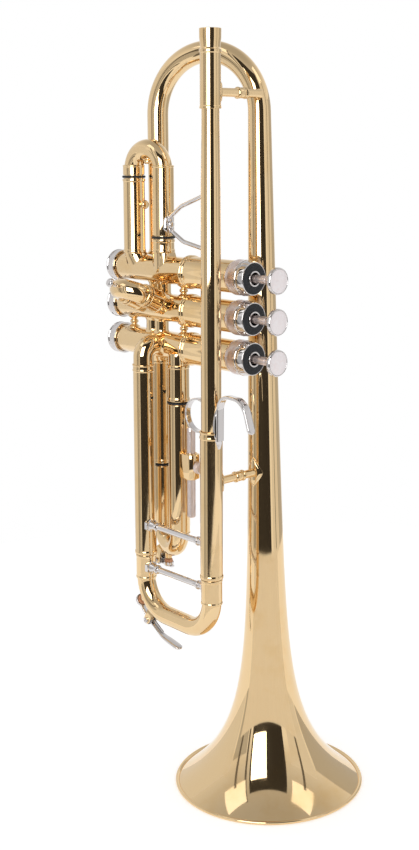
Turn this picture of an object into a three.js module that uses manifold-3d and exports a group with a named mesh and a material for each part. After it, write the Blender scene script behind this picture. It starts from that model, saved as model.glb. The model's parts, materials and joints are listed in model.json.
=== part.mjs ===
// A B-flat trumpet with three piston valves, standing on the rim of its bell.
// Millimetres, +Z up. The origin is on the bell's axis in the plane of its rim, +X points to the
// finger buttons and -Y to the player's right, where the leadpipe runs.
import * as THREE from "three";
import { mergeVertices } from "three/addons/utils/BufferGeometryUtils.js";
import Module from "manifold-3d";

const wasm = await Module();
wasm.setup();

// ---------------------------------------------------------------- driving dimensions
const GAP = 0.3; // between pieces that touch or slide in each other
const SET_ANGLE = 0.026; // the bell leans this much, in radians, against everything else
const SET_HEIGHT = 300; // height of the point that the lean turns about

const BELL = { rim: 61.5, wall: 0.6, length: 432, bowTube: 6.7, bowBore: 6.0, rings: 10 };
const BELL_LEG = { x: -76.5, y: -17.4, elbowZ: 343 }; // the bell's return leg into the first valve

const VALVE = {
  y: -28.2,
  z: [334.5, 310.4, 286.3],
  bore: 8.2,
  lowerRadius: 8.9,
  upperRadius: 9.8,
  bottomX: -105.2,
  stepX: -34,
  topX: 5.4,
};
const PISTON = { radius: 7.9, bore: 6.9, bottomX: -84, topX: -4, stemRadius: 2.45, stemTopX: 36.2 };
const SPRING = { radius: 5.6, wire: 0.45, bottomX: -34, length: 28, turns: 6 };
const TOP_CAP = { seatX: 5.7, widestX: 12, faceX: 20.6, radius: 10.8, collarX: 21.6 };
const BUTTON = { neckX: 36.5, rimX: 38.2, faceX: 41, radius: 8.1 };
const BOTTOM_CAP = { faceX: -107.3, lipX: -99.2, radius: 10.3 };

const KNUCKLE = { tube: 6.5, bore: 5.8 }; // elbows between a slide and its valve
const SLIDE = { outer: 6.9, outerBore: 6.4, inner: 6.1, innerBore: 5.6, ring: 7.3 };

const LEADPIPE = { x: 4.5, y: -48.1, top: 463, ferruleZ: 241.5 };
const RECEIVER = { topZ: 477.1, beadZ: 464.8, bottomZ: 432.5 };
const LOWER_LEG = { x: -60.5, y: -45.8, ferruleZ: 274 };
const MAIN_SLIDE = { ringZ: 151.4, ferruleZ: 135, insertion: 62, bowRadius: 22, bore: 5.6 };
const BRACE_Z = { fixed: 170.6, moving: 142 };

const FIRST = {
  lower: { x: -83.9, y: -32.3, sleeveZ: 391.2, ferruleZ: 344 },
  upper: { x: -57.2, y: -31, sleeveZ: 354, ferruleZ: 345.5 },
  crookFerruleZ: 399.8,
};
const SECOND = { nearX: -53.8, farX: -72.4, rise: 0.419, sleeveEnd: 22.7, bendStart: 25.2 };
const THIRD = {
  lower: { x: -67.7, y: -24.5, sleeveZ: 206.8 },
  upper: { x: -42.9, y: -32, sleeveZ: 252.4 },
  portZ: 275.6,
  bendZ: 164.9,
};
const HOOK = { width: 5.4, thickness: 1.9, bottomZ: 231, footTopZ: 263, archZ: 266.5, reach: 33, tipZ: 248 };
const SADDLE_WIRE = 1.35; // radius of the thumb saddle's wire
const RING = { x: -22.4, y: -33.4, z: 246.3, radius: 11.1, band: 4.2, rodX: -29.9, rodRadius: 2.9 };
const RING_BLOCK = { z: 212.2, height: 16, depth: 9, frontX: -24.8, backX: -35.4 };
const BELL_BRACE = { x: 3, upperZ: 442, lowerZ: 210, radius: 2.6 };
// A water key's pin lies past the bow, and its cup presses on a nipple where the water gathers.
const WATER_KEY = {
  drainAngle: 0.611, pinAngle: 1.02, pinReach: 6.5, cupReach: 5.2, ear: 1.1, halfWidth: 2.6,
};
const THIRD_KEY = { drainX: -58.3, y: -28.2, cupZ: 139, pinX: -66.8, pinZ: 140.3, halfWidth: 2.3 };

const SIDES = 10; // facets round a tube
const FINE_SIDES = 8; // facets round a rod or wire
const VALVE_SIDES = 12; // facets round a valve
const BELL_SIDES = 28; // facets round the bell

// ---------------------------------------------------------------- shapes and joins
const solidOf = (geometry) => {
  const bare = geometry.index ? geometry.toNonIndexed() : geometry.clone();
  bare.deleteAttribute("normal");
  bare.deleteAttribute("uv");
  const merged = mergeVertices(bare, 1e-4);
  return new wasm.Manifold(
    new wasm.Mesh({
      numProp: 3,
      vertProperties: merged.attributes.position.array,
      triVerts: new Uint32Array(merged.index.array),
    }),
  );
};

const geometryOf = (solid) => {
  const mesh = solid.getMesh();
  const geometry = new THREE.BufferGeometry();
  geometry.setAttribute("position", new THREE.BufferAttribute(mesh.vertProperties, 3));
  geometry.setIndex(new THREE.BufferAttribute(mesh.triVerts, 1));
  return geometry;
};

const join = (...pieces) => geometryOf(pieces.map(solidOf).reduce((sum, piece) => sum.add(piece)));

// What is left of a body, without any crumb that a tool leaves at its edge.
const cut = (body, ...tools) => {
  const rest = tools.map(solidOf).reduce((left, tool) => left.subtract(tool), solidOf(body));
  const pieces = rest.decompose().sort((a, b) => b.volume() - a.volume());
  return geometryOf(pieces[0]);
};

// A route of straight runs whose corners are rounded, sampled only where it bends.
class PipeRun extends THREE.Curve {
  constructor(corners, bend, stepsPerBend = 5) {
    super();
    this.stations = [];
    const points = corners.map((corner) => new THREE.Vector3(...corner));
    const add = (point, tangent) => this.stations.push({ point, tangent });
    points.forEach((corner, i) => {
      const into = i > 0 && corner.clone().sub(points[i - 1]).normalize();
      const out = i < points.length - 1 && points[i + 1].clone().sub(corner).normalize();
      if (!into || !out) {
        add(corner, into || out);
        return;
      }
      const turn = into.angleTo(out);
      const radius = Array.isArray(bend) ? bend[i - 1] : bend;
      const start = corner.clone().addScaledVector(into, -radius * Math.tan(turn / 2));
      const across = out.clone().addScaledVector(into, -into.dot(out)).normalize();
      for (let step = 0; step <= stepsPerBend; step++) {
        const angle = (turn * step) / stepsPerBend;
        const point = start.clone();
        point.addScaledVector(into, radius * Math.sin(angle));
        point.addScaledVector(across, radius * (1 - Math.cos(angle)));
        const tangent = into.clone().multiplyScalar(Math.cos(angle));
        add(point, tangent.addScaledVector(across, Math.sin(angle)));
      }
    });
  }
  at(u) {
    return this.stations[Math.round(u * (this.stations.length - 1))];
  }
  getPoint(t, target = new THREE.Vector3()) {
    return target.copy(this.at(t).point);
  }
  getPointAt(u, target) {
    return this.getPoint(u, target);
  }
  getTangentAt(u, target = new THREE.Vector3()) {
    return target.copy(this.at(u).tangent);
  }
}

// The same route for a flat section, whose width stays along one direction.
class StripRun extends PipeRun {
  constructor(corners, bend, across, stepsPerBend) {
    super(corners, bend, stepsPerBend);
    this.across = across;
  }
  computeFrenetFrames() {
    const tangents = this.stations.map(({ tangent }) => tangent);
    const normals = tangents.map((tangent) => this.across.clone().cross(tangent).normalize());
    const binormals = tangents.map((tangent, i) => tangent.clone().cross(normals[i]));
    return { tangents, normals, binormals };
  }
}

const disc = (radius, bore = 0) => {
  const shape = new THREE.Shape().absarc(0, 0, radius, 0, 2 * Math.PI, false);
  if (bore > 0) shape.holes.push(new THREE.Path().absarc(0, 0, bore, 0, 2 * Math.PI, true));
  return shape;
};

// A tube or rod along a route: its corners, the bend radius at them, its radius and its bore.
const pipe = (corners, bend, radius, bore = 0, sides = SIDES, stepsPerBend = 5) => {
  const route = new PipeRun(corners, bend, stepsPerBend);
  return new THREE.ExtrudeGeometry(disc(radius, bore), {
    extrudePath: route,
    steps: route.stations.length - 1,
    curveSegments: sides / 2,
  });
};

// A flat bar along a route, its width along Y.
const strip = (corners, bend, width, thickness, stepsPerBend = 6) => {
  const route = new StripRun(corners, bend, new THREE.Vector3(0, 1, 0), stepsPerBend);
  const w = width / 2;
  const t = thickness / 2;
  const section = new THREE.Shape([[-t, -w], [t, -w], [t, w], [-t, w]].map((p) => new THREE.Vector2(...p)));
  return new THREE.ExtrudeGeometry(section, { extrudePath: route, steps: route.stations.length - 1 });
};

// A closed profile of [radius, height] points, counter-clockwise, turned round +Z.
const turned = (profile, segments = SIDES) => {
  const points = [...profile, profile[0]].map(([radius, height]) => new THREE.Vector2(radius, height));
  return new THREE.LatheGeometry(points, segments).rotateX(Math.PI / 2);
};

// A solid of revolution whose profile starts and ends on the axis.
const turnedSolid = (profile, segments = SIDES) =>
  new THREE.LatheGeometry(profile.map(([r, h]) => new THREE.Vector2(r, h)), segments).rotateX(Math.PI / 2);

const toX = (geometry) => geometry.rotateY(Math.PI / 2); // turns an axis of +Z to +X
const at = (geometry, x, y, z) => geometry.translate(x, y, z);
const rod = (from, to, radius, sides = FINE_SIDES) => pipe([from, to], 1, radius, 0, sides);

const sleeve = (radius, bore, bottom, top, segments = SIDES) =>
  turned([[bore, bottom], [radius, bottom], [radius, top], [bore, top]], segments);

const plug = (radius, bottom, top, segments = 20) =>
  turnedSolid([[0, bottom], [radius, bottom], [radius, top], [0, top]], segments);
const alongY = (geometry) => geometry.rotateX(Math.PI / 2); // turns an axis of +Z to -Y

// ---------------------------------------------------------------- materials
const finish = (color, roughness, metalness) => ({ color, roughness, metalness });
const FINISH = {
  lacquer: finish(0xe6b566, 0.16, 1),
  nickel: finish(0xd9d4d2, 0.18, 1),
  pearl: finish(0xf0e9ea, 0.25, 0),
  felt: finish(0x121316, 0.95, 0),
  cork: finish(0xc98250, 0.85, 0),
  steel: finish(0x9a9a9c, 0.35, 1),
};

const trumpet = new THREE.Group();
const body = new THREE.Group(); // everything but the bell, set at a small angle to it
body.position.z = SET_HEIGHT;
body.rotation.y = SET_ANGLE;
const level = new THREE.Group();
level.position.z = -SET_HEIGHT;
body.add(level);
trumpet.add(body);
body.updateMatrixWorld(true);

const place = (name, geometry, look, parent = level) => {
  const mesh = new THREE.Mesh(geometry, new THREE.MeshStandardMaterial(FINISH[look]));
  mesh.name = name;
  parent.add(mesh);
};

// ---------------------------------------------------------------- clearances that the tubes are cut to
const BEAD_HEIGHT = 0.9;
const casingTools = VALVE.z.map((z) => {
  const lower = VALVE.lowerRadius + GAP;
  const upper = VALVE.upperRadius + BEAD_HEIGHT + 0.2 + GAP;
  const edgeX = VALVE.stepX - 2.4;
  const profile = [[0, -112], [lower, -112], [lower, edgeX], [upper, edgeX], [upper, 24], [0, 24]];
  return at(toX(turnedSolid(profile, VALVE_SIDES)), 0, VALVE.y, z);
});
const inWorld = (geometry) => geometry.clone().applyMatrix4(level.matrixWorld);
const worldPoint = (x, y, z) => new THREE.Vector3(x, y, z).applyMatrix4(level.matrixWorld);

// The elbow from the first slide's lower tube into the first valve.
const firstElbow = (radius, bore) => {
  const { x, y, ferruleZ } = FIRST.lower;
  const corners = [[x, y, ferruleZ + 3], [x, y, VALVE.z[0] + 9], [x + 2, y + 2, VALVE.z[0] - 2]];
  return pipe(corners, 12, radius, bore);
};

// ---------------------------------------------------------------- bell
const bellRadius = (z) =>
  6.9 + 0.0145 * (440 - z) + 40.8 * Math.exp(-z / 30) + 7.4 * Math.exp(-z / 60);

// The flare is a shell with a rolled rim, whose bottom is flat so that it stands.
const bellFlare = () => {
  const heights = Array.from({ length: BELL.rings + 1 }, (_, i) => BELL.length * (i / BELL.rings) ** 2.4);
  const skin = heights.map((z) => [bellRadius(z), z]).filter(([r, z]) => z > 2.4 && r < BELL.rim - 2);
  const outside = [[BELL.rim - 1.2, 0], [BELL.rim, 0.5], [BELL.rim, 1.7], [BELL.rim - 1, 2.2], ...skin];
  const inside = outside.slice(3).map(([r, z]) => [r - BELL.wall - (z < 40 ? 0.35 : 0), z]);
  return turned([...outside, ...inside.reverse(), [BELL.rim - 3.4, 0]], BELL_SIDES);
};

// The bow turns over the top and comes down into the first valve.
const bellBow = () => {
  const legTop = worldPoint(BELL_LEG.x, BELL_LEG.y, BELL.length);
  const halfSpan = Math.hypot(legTop.x, legTop.y) / 2;
  const crown = BELL.length + halfSpan;
  const route = [
    [0, 0, BELL.length - 0.6],
    [0, 0, crown],
    [legTop.x, legTop.y, crown],
    worldPoint(BELL_LEG.x, BELL_LEG.y, BELL_LEG.elbowZ).toArray(),
    worldPoint(BELL_LEG.x, VALVE.y + 4, VALVE.z[0] + 2).toArray(),
  ];
  return pipe(route, [halfSpan - 0.01, halfSpan - 0.01, 9], BELL.bowTube, BELL.bowBore, SIDES, 6);
};

const firstTubeTool = () => {
  const { x, y, ferruleZ } = FIRST.lower;
  const aroundSleeve = at(plug(SLIDE.ring + GAP, ferruleZ - GAP, ferruleZ + 9, SIDES), x, y, 0);
  return join(aroundSleeve, firstElbow(KNUCKLE.tube + GAP));
};
const bell = cut(join(bellFlare(), bellBow()), inWorld(casingTools[0]), inWorld(firstTubeTool()));
place("bell", bell, "lacquer", trumpet);

// ---------------------------------------------------------------- leadpipe and its receiver
const { beadZ, bottomZ } = RECEIVER;
const receiver = turned([
  [5.4, bottomZ], [6.3, bottomZ], [6.3, bottomZ + 1.6], [6.1, bottomZ + 2], [6.1, beadZ - 1.3],
  [6.5, beadZ - 1.1], [6.5, beadZ + 1.1], [5.6, beadZ + 1.4], [6.4, beadZ + 5.4], [6.4, RECEIVER.topZ],
  [4.9, RECEIVER.topZ], [4.5, beadZ - 1.8], [5.4, beadZ - 1.8],
], VALVE_SIDES);
place("mouthpiece_receiver", at(receiver, LEADPIPE.x, LEADPIPE.y, 0), "lacquer");

const leadpipe = turned([
  [4.9, LEADPIPE.ferruleZ - 4], [6.1, LEADPIPE.ferruleZ - 4], [6.1, 330], [5.8, 380], [5.15, 425],
  [5.1, LEADPIPE.top - 0.3], [4.4, LEADPIPE.top - 0.3], [4.4, 430],
], VALVE_SIDES);
place("leadpipe", at(leadpipe, LEADPIPE.x, LEADPIPE.y, 0), "lacquer");

const outerSlideTube = (bottom, top, bore) => turned([
  [bore, bottom], [SLIDE.ring - 0.3, bottom], [SLIDE.ring, bottom + 0.5], [SLIDE.ring, bottom + 2],
  [SLIDE.outer, bottom + 2.6], [SLIDE.outer, top - 3.4], [SLIDE.ring, top - 3], [SLIDE.ring, top - 0.5],
  [SLIDE.ring - 0.3, top], [bore, top],
]);
const upperTube = at(
  outerSlideTube(MAIN_SLIDE.ringZ - 1.2, LEADPIPE.ferruleZ + 1.5, 6.6), LEADPIPE.x, LEADPIPE.y, 0);
place("upper_slide_tube", upperTube, "lacquer");

// ---------------------------------------------------------------- lower leg into the third valve
const lowerTube = at(
  outerSlideTube(MAIN_SLIDE.ringZ - 1.2, LOWER_LEG.ferruleZ + 1.5, 6.5), LOWER_LEG.x, LOWER_LEG.y, 0);
const inletElbow = pipe([
  [LOWER_LEG.x, LOWER_LEG.y, LOWER_LEG.ferruleZ - 4],
  [LOWER_LEG.x, LOWER_LEG.y, VALVE.z[2] + 3],
  [LOWER_LEG.x + 3, VALVE.y - 3, VALVE.z[2]],
], 7.6, 6.6, 5.9);
place("lower_slide_tube", cut(join(lowerTube, inletElbow), casingTools[2]), "lacquer");

// ---------------------------------------------------------------- braces
// A slide brace runs along X between two tubes, with a six-sided foot and a collar at each end.
const slideBrace = (z, tubeRadius) => {
  const y = -47;
  const from = LOWER_LEG.x + tubeRadius;
  const to = LEADPIPE.x - tubeRadius;
  const foot = [[0, -2.6], [5, -2.6], [5, 0.4], [3.4, 1.6], [2.9, 4.6], [0, 4.6]];
  const collar = [[0, 6.1], [3.1, 6.1], [3.1, 7.9], [0, 7.9]];
  const end = (x, heading) => [
    at(toX(turnedSolid(foot, 6)).rotateZ(heading), x, y, z),
    at(toX(turnedSolid(collar)).rotateZ(heading), x, y, z),
  ];
  const bar = rod([from, y, z], [to, y, z], 2.1);
  const tools = [LOWER_LEG, LEADPIPE].map((tube) =>
    at(plug(tubeRadius + GAP, z - 12, z + 12, SIDES), tube.x, tube.y, 0));
  return cut(join(bar, ...end(from, 0), ...end(to, Math.PI)), ...tools);
};
place("slide_brace_fixed", slideBrace(BRACE_Z.fixed, SLIDE.outer), "nickel");
place("slide_brace_moving", slideBrace(BRACE_Z.moving, SLIDE.outer - 0.1), "nickel");

// A bell stay runs along Y from the leadpipe to the bell's tail.
const bellBrace = (z, pipeRadius) => {
  const { x, radius } = BELL_BRACE;
  const spoolProfile = [[0, -2], [3.8, -1.6], [3.1, 0], [3.8, 1.6], [0, 2]];
  const spool = (y) => at(alongY(turnedSolid(spoolProfile, FINE_SIDES)), x, y, z);
  const bar = rod([x, LEADPIPE.y + 3, z], [x, -2, z], radius);
  const bellFoot = new THREE.BoxGeometry(9, 7, 17).translate(x - 1, -bellRadius(z) - 0.6, z);
  const pipeFoot = new THREE.BoxGeometry(8, 4, 11).translate(x, LEADPIPE.y + pipeRadius, z);
  const pipeTool = at(plug(pipeRadius + GAP, z - 20, z + 20), LEADPIPE.x, LEADPIPE.y, 0);
  const stay = cut(join(bar, spool(-13.5), spool(LEADPIPE.y + 12), bellFoot, pipeFoot), pipeTool);
  const bellSide = [-30, 0, 20].map((dz) => [bellRadius(z + dz) + GAP, z + dz]);
  const bellTool = [[0, z - 30], ...bellSide, [0, z + 20]];
  return cut(inWorld(stay), turnedSolid(bellTool, 24));
};
place("bell_brace_upper", bellBrace(BELL_BRACE.upperZ, 6.1), "lacquer", trumpet);
place("bell_brace_lower", bellBrace(BELL_BRACE.lowerZ, SLIDE.outer), "lacquer", trumpet);

// ---------------------------------------------------------------- little-finger hook
const hookX = LEADPIPE.x + 6.2 + GAP;
const hookFoot = new THREE.BoxGeometry(2.6, HOOK.width, HOOK.footTopZ - HOOK.bottomZ)
  .translate(hookX + 0.9, LEADPIPE.y, (HOOK.footTopZ + HOOK.bottomZ) / 2);
const hookRoute = [
  [hookX + 1.2, LEADPIPE.y, HOOK.archZ - 13],
  [hookX + 1.2, LEADPIPE.y, HOOK.archZ],
  [hookX + HOOK.reach - 7, LEADPIPE.y - 4, HOOK.archZ],
  [hookX + HOOK.reach, LEADPIPE.y - 5, HOOK.tipZ],
];
const hookBlank = join(hookFoot, strip(hookRoute, [10, 12], HOOK.width, HOOK.thickness, 8));
const ferruleTop = LEADPIPE.ferruleZ + 1.9;
const hookSeat = turnedSolid([[0, 220], [SLIDE.ring + GAP, 220], [SLIDE.ring + GAP, ferruleTop],
  [6.2 + GAP, ferruleTop], [6.2 + GAP, 272], [0, 272]], 20);
place("little_finger_hook", cut(hookBlank, at(hookSeat, LEADPIPE.x, LEADPIPE.y, 0)), "nickel");

// ---------------------------------------------------------------- valves
const alongValve = (profile, z) => at(toX(turned(profile, VALVE_SIDES)), 0, VALVE.y, z);

const bead = (x) => [
  [VALVE.upperRadius + 0.2, x - 0.9],
  [VALVE.upperRadius + BEAD_HEIGHT, x],
  [VALVE.upperRadius + 0.2, x + 0.9],
];
const casingProfile = [
  [VALVE.bore, VALVE.bottomX], [VALVE.lowerRadius, VALVE.bottomX], [VALVE.lowerRadius, VALVE.stepX - 2],
  ...bead(VALVE.stepX - 1), ...bead(VALVE.stepX + 1), [VALVE.upperRadius, VALVE.stepX + 2],
  [VALVE.upperRadius, VALVE.topX], [VALVE.bore, VALVE.topX],
];
const pistonProfile = [
  [PISTON.bore, PISTON.bottomX], [PISTON.radius, PISTON.bottomX], [PISTON.radius, PISTON.topX],
  [PISTON.stemRadius + 1.1, PISTON.topX], [PISTON.stemRadius, PISTON.topX + 2.5],
  [PISTON.stemRadius, PISTON.stemTopX], [0.8, PISTON.stemTopX], [0.8, PISTON.topX - 1.2],
  [PISTON.bore, PISTON.topX - 1.2],
];
const topCapProfile = [
  [8.3, TOP_CAP.seatX], [9.9, TOP_CAP.seatX], [TOP_CAP.radius - 0.2, TOP_CAP.widestX - 3],
  [TOP_CAP.radius, TOP_CAP.widestX], [TOP_CAP.radius, TOP_CAP.faceX - 3.4], [9.9, TOP_CAP.faceX],
  [9.4, TOP_CAP.faceX], [9.4, TOP_CAP.faceX - 1.4], [4.8, TOP_CAP.faceX - 1.4], [4.8, TOP_CAP.collarX],
  [3.7, TOP_CAP.collarX], [3.7, TOP_CAP.faceX - 3], [8.3, TOP_CAP.faceX - 3],
];
const bottomCapProfile = [
  [1.6, BOTTOM_CAP.faceX], [8.6, BOTTOM_CAP.faceX], [BOTTOM_CAP.radius, BOTTOM_CAP.faceX + 1.6],
  [BOTTOM_CAP.radius, BOTTOM_CAP.lipX], [VALVE.lowerRadius + GAP, BOTTOM_CAP.lipX],
  [VALVE.lowerRadius + GAP, VALVE.bottomX - GAP], [1.6, VALVE.bottomX - GAP],
];
const feltProfile = [
  [5, TOP_CAP.faceX - 1.2], [9.15, TOP_CAP.faceX - 1.2],
  [9.15, TOP_CAP.faceX + 0.3], [5, TOP_CAP.faceX + 0.3],
];
const buttonProfile = [
  [0, BUTTON.neckX], [3.2, BUTTON.neckX], [3.6, BUTTON.neckX + 0.9], [7.6, BUTTON.rimX],
  [BUTTON.radius, BUTTON.rimX + 0.6], [BUTTON.radius, BUTTON.faceX - 0.6], [7.7, BUTTON.faceX],
  [7.3, BUTTON.faceX], [7.3, BUTTON.faceX - 1.1], [0, BUTTON.faceX - 1.1],
];
const pearlProfile = [
  [0, BUTTON.faceX - 0.8], [7, BUTTON.faceX - 0.8], [7, BUTTON.faceX - 0.1], [5, BUTTON.faceX + 0.3],
  [0, BUTTON.faceX + 0.5],
];

class Helix extends THREE.Curve {
  getPoint(t, target = new THREE.Vector3()) {
    const angle = 2 * Math.PI * SPRING.turns * t;
    const x = SPRING.bottomX + SPRING.length * t;
    return target.set(x, SPRING.radius * Math.cos(angle), SPRING.radius * Math.sin(angle));
  }
}
const valveSpring = () =>
  new THREE.ExtrudeGeometry(disc(SPRING.wire), { extrudePath: new Helix(), steps: 30, curveSegments: 2 });

VALVE.z.forEach((z, i) => {
  const n = i + 1;
  const onAxis = (profile) => at(toX(turnedSolid(profile, VALVE_SIDES)), 0, VALVE.y, z);
  place(`valve_casing_${n}`, alongValve(casingProfile, z), "lacquer");
  place(`piston_${n}`, alongValve(pistonProfile, z), "nickel");
  place(`valve_spring_${n}`, at(valveSpring(), 0, VALVE.y, z), "steel");
  place(`top_cap_${n}`, alongValve(topCapProfile, z), "nickel");
  place(`cap_felt_${n}`, alongValve(feltProfile, z), "felt");
  place(`bottom_cap_${n}`, alongValve(bottomCapProfile, z), "nickel");
  place(`finger_button_${n}`, onAxis(buttonProfile), "nickel");
  place(`button_pearl_${n}`, onAxis(pearlProfile), "pearl");
});

// Windway tubes and turned posts hold the casings apart.
const between = (upper, lower) => (VALVE.z[upper] + VALVE.z[lower]) / 2;
const windway = (firstX, secondX, upper, lower) => {
  const z = between(upper, lower);
  const tube = (x) => at(plug(4.7, -9, 9, SIDES), x, VALVE.y, z);
  return cut(join(tube(firstX), tube(secondX)), casingTools[upper], casingTools[lower]);
};
const post = (x, upper, lower) => {
  const half = [[2.6, 0], [1.9, 0.9], [1.9, 1.9], [4.2, 2.8], [4.2, 6], [0, 6]];
  const mirrored = half.slice(1).map(([r, h]) => [r, -h]).reverse();
  const spool = turnedSolid([...mirrored, ...half], FINE_SIDES);
  return cut(at(spool, x, VALVE.y, between(upper, lower)), casingTools[upper], casingTools[lower]);
};
place("windway_1_2", windway(-68, -60.5, 0, 1), "lacquer");
place("windway_2_3", windway(-71, -63, 1, 2), "lacquer");
place("casing_post_1_2", post(-41.5, 0, 1), "lacquer");
place("casing_post_2_3", post(-41.5, 1, 2), "lacquer");
place("casing_post_rear", post(-90.3, 1, 2), "lacquer");

// ---------------------------------------------------------------- main tuning slide
const slideFerrule = sleeve(
  SLIDE.outer - 0.1, SLIDE.inner - 0.3, MAIN_SLIDE.ferruleZ - 0.6, MAIN_SLIDE.ringZ - 1.6);
const mainBowZ = MAIN_SLIDE.ferruleZ - MAIN_SLIDE.bowRadius;
const innerTop = MAIN_SLIDE.ringZ + MAIN_SLIDE.insertion;
const mainRoute = [
  [LOWER_LEG.x, LOWER_LEG.y, innerTop],
  [LOWER_LEG.x, LOWER_LEG.y, mainBowZ],
  [LEADPIPE.x, LEADPIPE.y, mainBowZ],
  [LEADPIPE.x, LEADPIPE.y, innerTop],
];
const mainBow = pipe(mainRoute, MAIN_SLIDE.bowRadius, SLIDE.inner, MAIN_SLIDE.bore);
const mainSleeves = [LOWER_LEG, LEADPIPE].map(({ x, y }) => at(slideFerrule.clone(), x, y, 0));

// A point at a distance from the centre of the bow's left bend, at an angle below the horizontal.
const fromBend = (distance, angle = WATER_KEY.drainAngle) => [
  LOWER_LEG.x + MAIN_SLIDE.bowRadius - distance * Math.cos(angle),
  LOWER_LEG.y - 0.3,
  MAIN_SLIDE.ferruleZ - distance * Math.sin(angle),
];
const bowOutside = MAIN_SLIDE.bowRadius + SLIDE.inner;
const nipple = rod(fromBend(bowOutside - 1.5), fromBend(bowOutside + 2), 2.6);
place("tuning_slide", join(mainBow, ...mainSleeves, nipple), "lacquer");

// ---------------------------------------------------------------- water key
// A lever turns on a cross pin between two ears, and its cup presses a cork on the nipple.
const crossPin = (reach) => alongY(turnedSolid(
  [[0, -reach], [1.6, -reach], [1.6, 1 - reach],
    [0.8, 1 - reach], [0.8, reach - 0.8], [0, reach - 0.8]], 12));
const barrel = (radius, halfLength) => alongY(plug(radius, -halfLength, halfLength, 14));
const cupProfile = (radius) => {
  const floor = radius - 0.6;
  return [[0, -1.6], [floor, -1.6], [radius, -0.8], [radius, 1.6], [floor, 1.6], [floor, 0], [0, 0]];
};
const ears = (foot, pin, halfWidth) => [-1, 1].map((side) => {
  const y = pin[1] + side * (halfWidth + WATER_KEY.ear / 2);
  return strip([[foot[0], y, foot[2]], [pin[0], y, pin[2]]], 1, WATER_KEY.ear, 5.2);
});

const pinAt = fromBend(bowOutside + WATER_KEY.pinReach, WATER_KEY.pinAngle);
const earFoot = fromBend(bowOutside - 0.6, WATER_KEY.pinAngle);
const saddleBase = new THREE.BoxGeometry(7, 7.4, 2.4).rotateY(0.55)
  .translate(...fromBend(bowOutside + 0.4, WATER_KEY.pinAngle));
const saddleBlank = join(
  ...ears(earFoot, pinAt, WATER_KEY.halfWidth), saddleBase, at(crossPin(5.6), ...pinAt));
const aroundBow = pipe(mainRoute.slice(0, 3), MAIN_SLIDE.bowRadius, SLIDE.inner + GAP, 0, SIDES, 8);
place("water_key_saddle", cut(saddleBlank, aroundBow), "lacquer");

const cupAt = fromBend(bowOutside + WATER_KEY.cupReach);
const alongDrain = (geometry) => at(geometry.rotateY(Math.PI / 2 - WATER_KEY.drainAngle), ...cupAt);
const leverRoute = [
  fromBend(bowOutside + WATER_KEY.cupReach + 1.2),
  [pinAt[0] - 2.5, pinAt[1], pinAt[2] + 1.5],
  [pinAt[0] + 12, pinAt[1], pinAt[2] - 8],
  [pinAt[0] + 30, pinAt[1], pinAt[2] - 12],
];
const lever = join(
  strip(leverRoute, [9, 18], 4.2, 1.7, 5),
  at(barrel(2.6, 2.3), ...pinAt),
  alongDrain(turnedSolid(cupProfile(4.2), 16)),
);
place("water_key", cut(lever, at(barrel(1.1, 5), ...pinAt)), "nickel");
place("water_key_cork", alongDrain(plug(3.3, 0.3, 2.6, 16)), "cork");

// ---------------------------------------------------------------- first slide
const { lower: firstLower, upper: firstUpper } = FIRST;
const fixedSleeve = (x, y, bottom, top) => at(turned([
  [SLIDE.outerBore, bottom], [SLIDE.ring, bottom], [SLIDE.ring, bottom + 2.2], [SLIDE.outer, bottom + 2.8],
  [SLIDE.outer, top - 2], [SLIDE.ring, top - 1.6], [SLIDE.ring, top], [SLIDE.outerBore, top]]), x, y, 0);
const straightPort = (x, y, fromZ, valve) =>
  cut(pipe([[x, y, fromZ], [x, y, VALVE.z[valve]]], 1, KNUCKLE.tube, KNUCKLE.bore), casingTools[valve]);

place("first_slide_tube_lower", join(
  fixedSleeve(firstLower.x, firstLower.y, firstLower.ferruleZ, firstLower.sleeveZ),
  cut(firstElbow(KNUCKLE.tube, KNUCKLE.bore), casingTools[0])), "lacquer");
place("first_slide_tube_upper", join(
  fixedSleeve(firstUpper.x, firstUpper.y, firstUpper.ferruleZ, firstUpper.sleeveZ),
  straightPort(firstUpper.x, firstUpper.y, firstUpper.ferruleZ + 3, 0)), "lacquer");

// A crook: two legs joined by a half turn, inner legs in the fixed tubes, and sleeves outside.
const crook = (a, b, bendZ, aEnd, bEnd, radius = SLIDE.inner, bore = SLIDE.innerBore) => {
  const half = Math.hypot(a.x - b.x, a.y - b.y) / 2;
  const far = bendZ + Math.sign(bendZ - aEnd) * half;
  const route = [[a.x, a.y, aEnd], [a.x, a.y, far], [b.x, b.y, far], [b.x, b.y, bEnd]];
  return pipe(route, half - 0.01, radius, bore);
};
const band = ({ x, y }, low, high) => at(sleeve(SLIDE.outer, SLIDE.inner - 0.1, low, high), x, y, 0);
const firstBend = FIRST.crookFerruleZ - 3.4;
place("first_slide", join(
  crook(firstLower, firstUpper, firstBend, firstLower.ferruleZ + 8, firstUpper.ferruleZ + 4),
  band(firstLower, firstLower.sleeveZ + 3, FIRST.crookFerruleZ),
  band(firstUpper, firstUpper.sleeveZ + 3, FIRST.crookFerruleZ),
), "lacquer");

// The thumb saddle is a bent wire on a pad beside the upper leg.
const thumbRoute = [[-12, -33, 384], [-38, -33, 375], [-57, -31, 363.5], [-36, -33, 353.5], [-12, -33, 349]];
const thumbPad = new THREE.BoxGeometry(4, 7, 11)
  .translate(firstUpper.x + SLIDE.outer + 1.6, firstUpper.y - 1.4, 363.5);
const thumbBlank = join(pipe(thumbRoute, [14, 4.5, 14], SADDLE_WIRE, 0, FINE_SIDES), thumbPad);
const aroundLeg = at(plug(SLIDE.outer + GAP, 346, 386), firstUpper.x, firstUpper.y, 0);
place("thumb_saddle", cut(thumbBlank, aroundLeg), "nickel");

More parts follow.
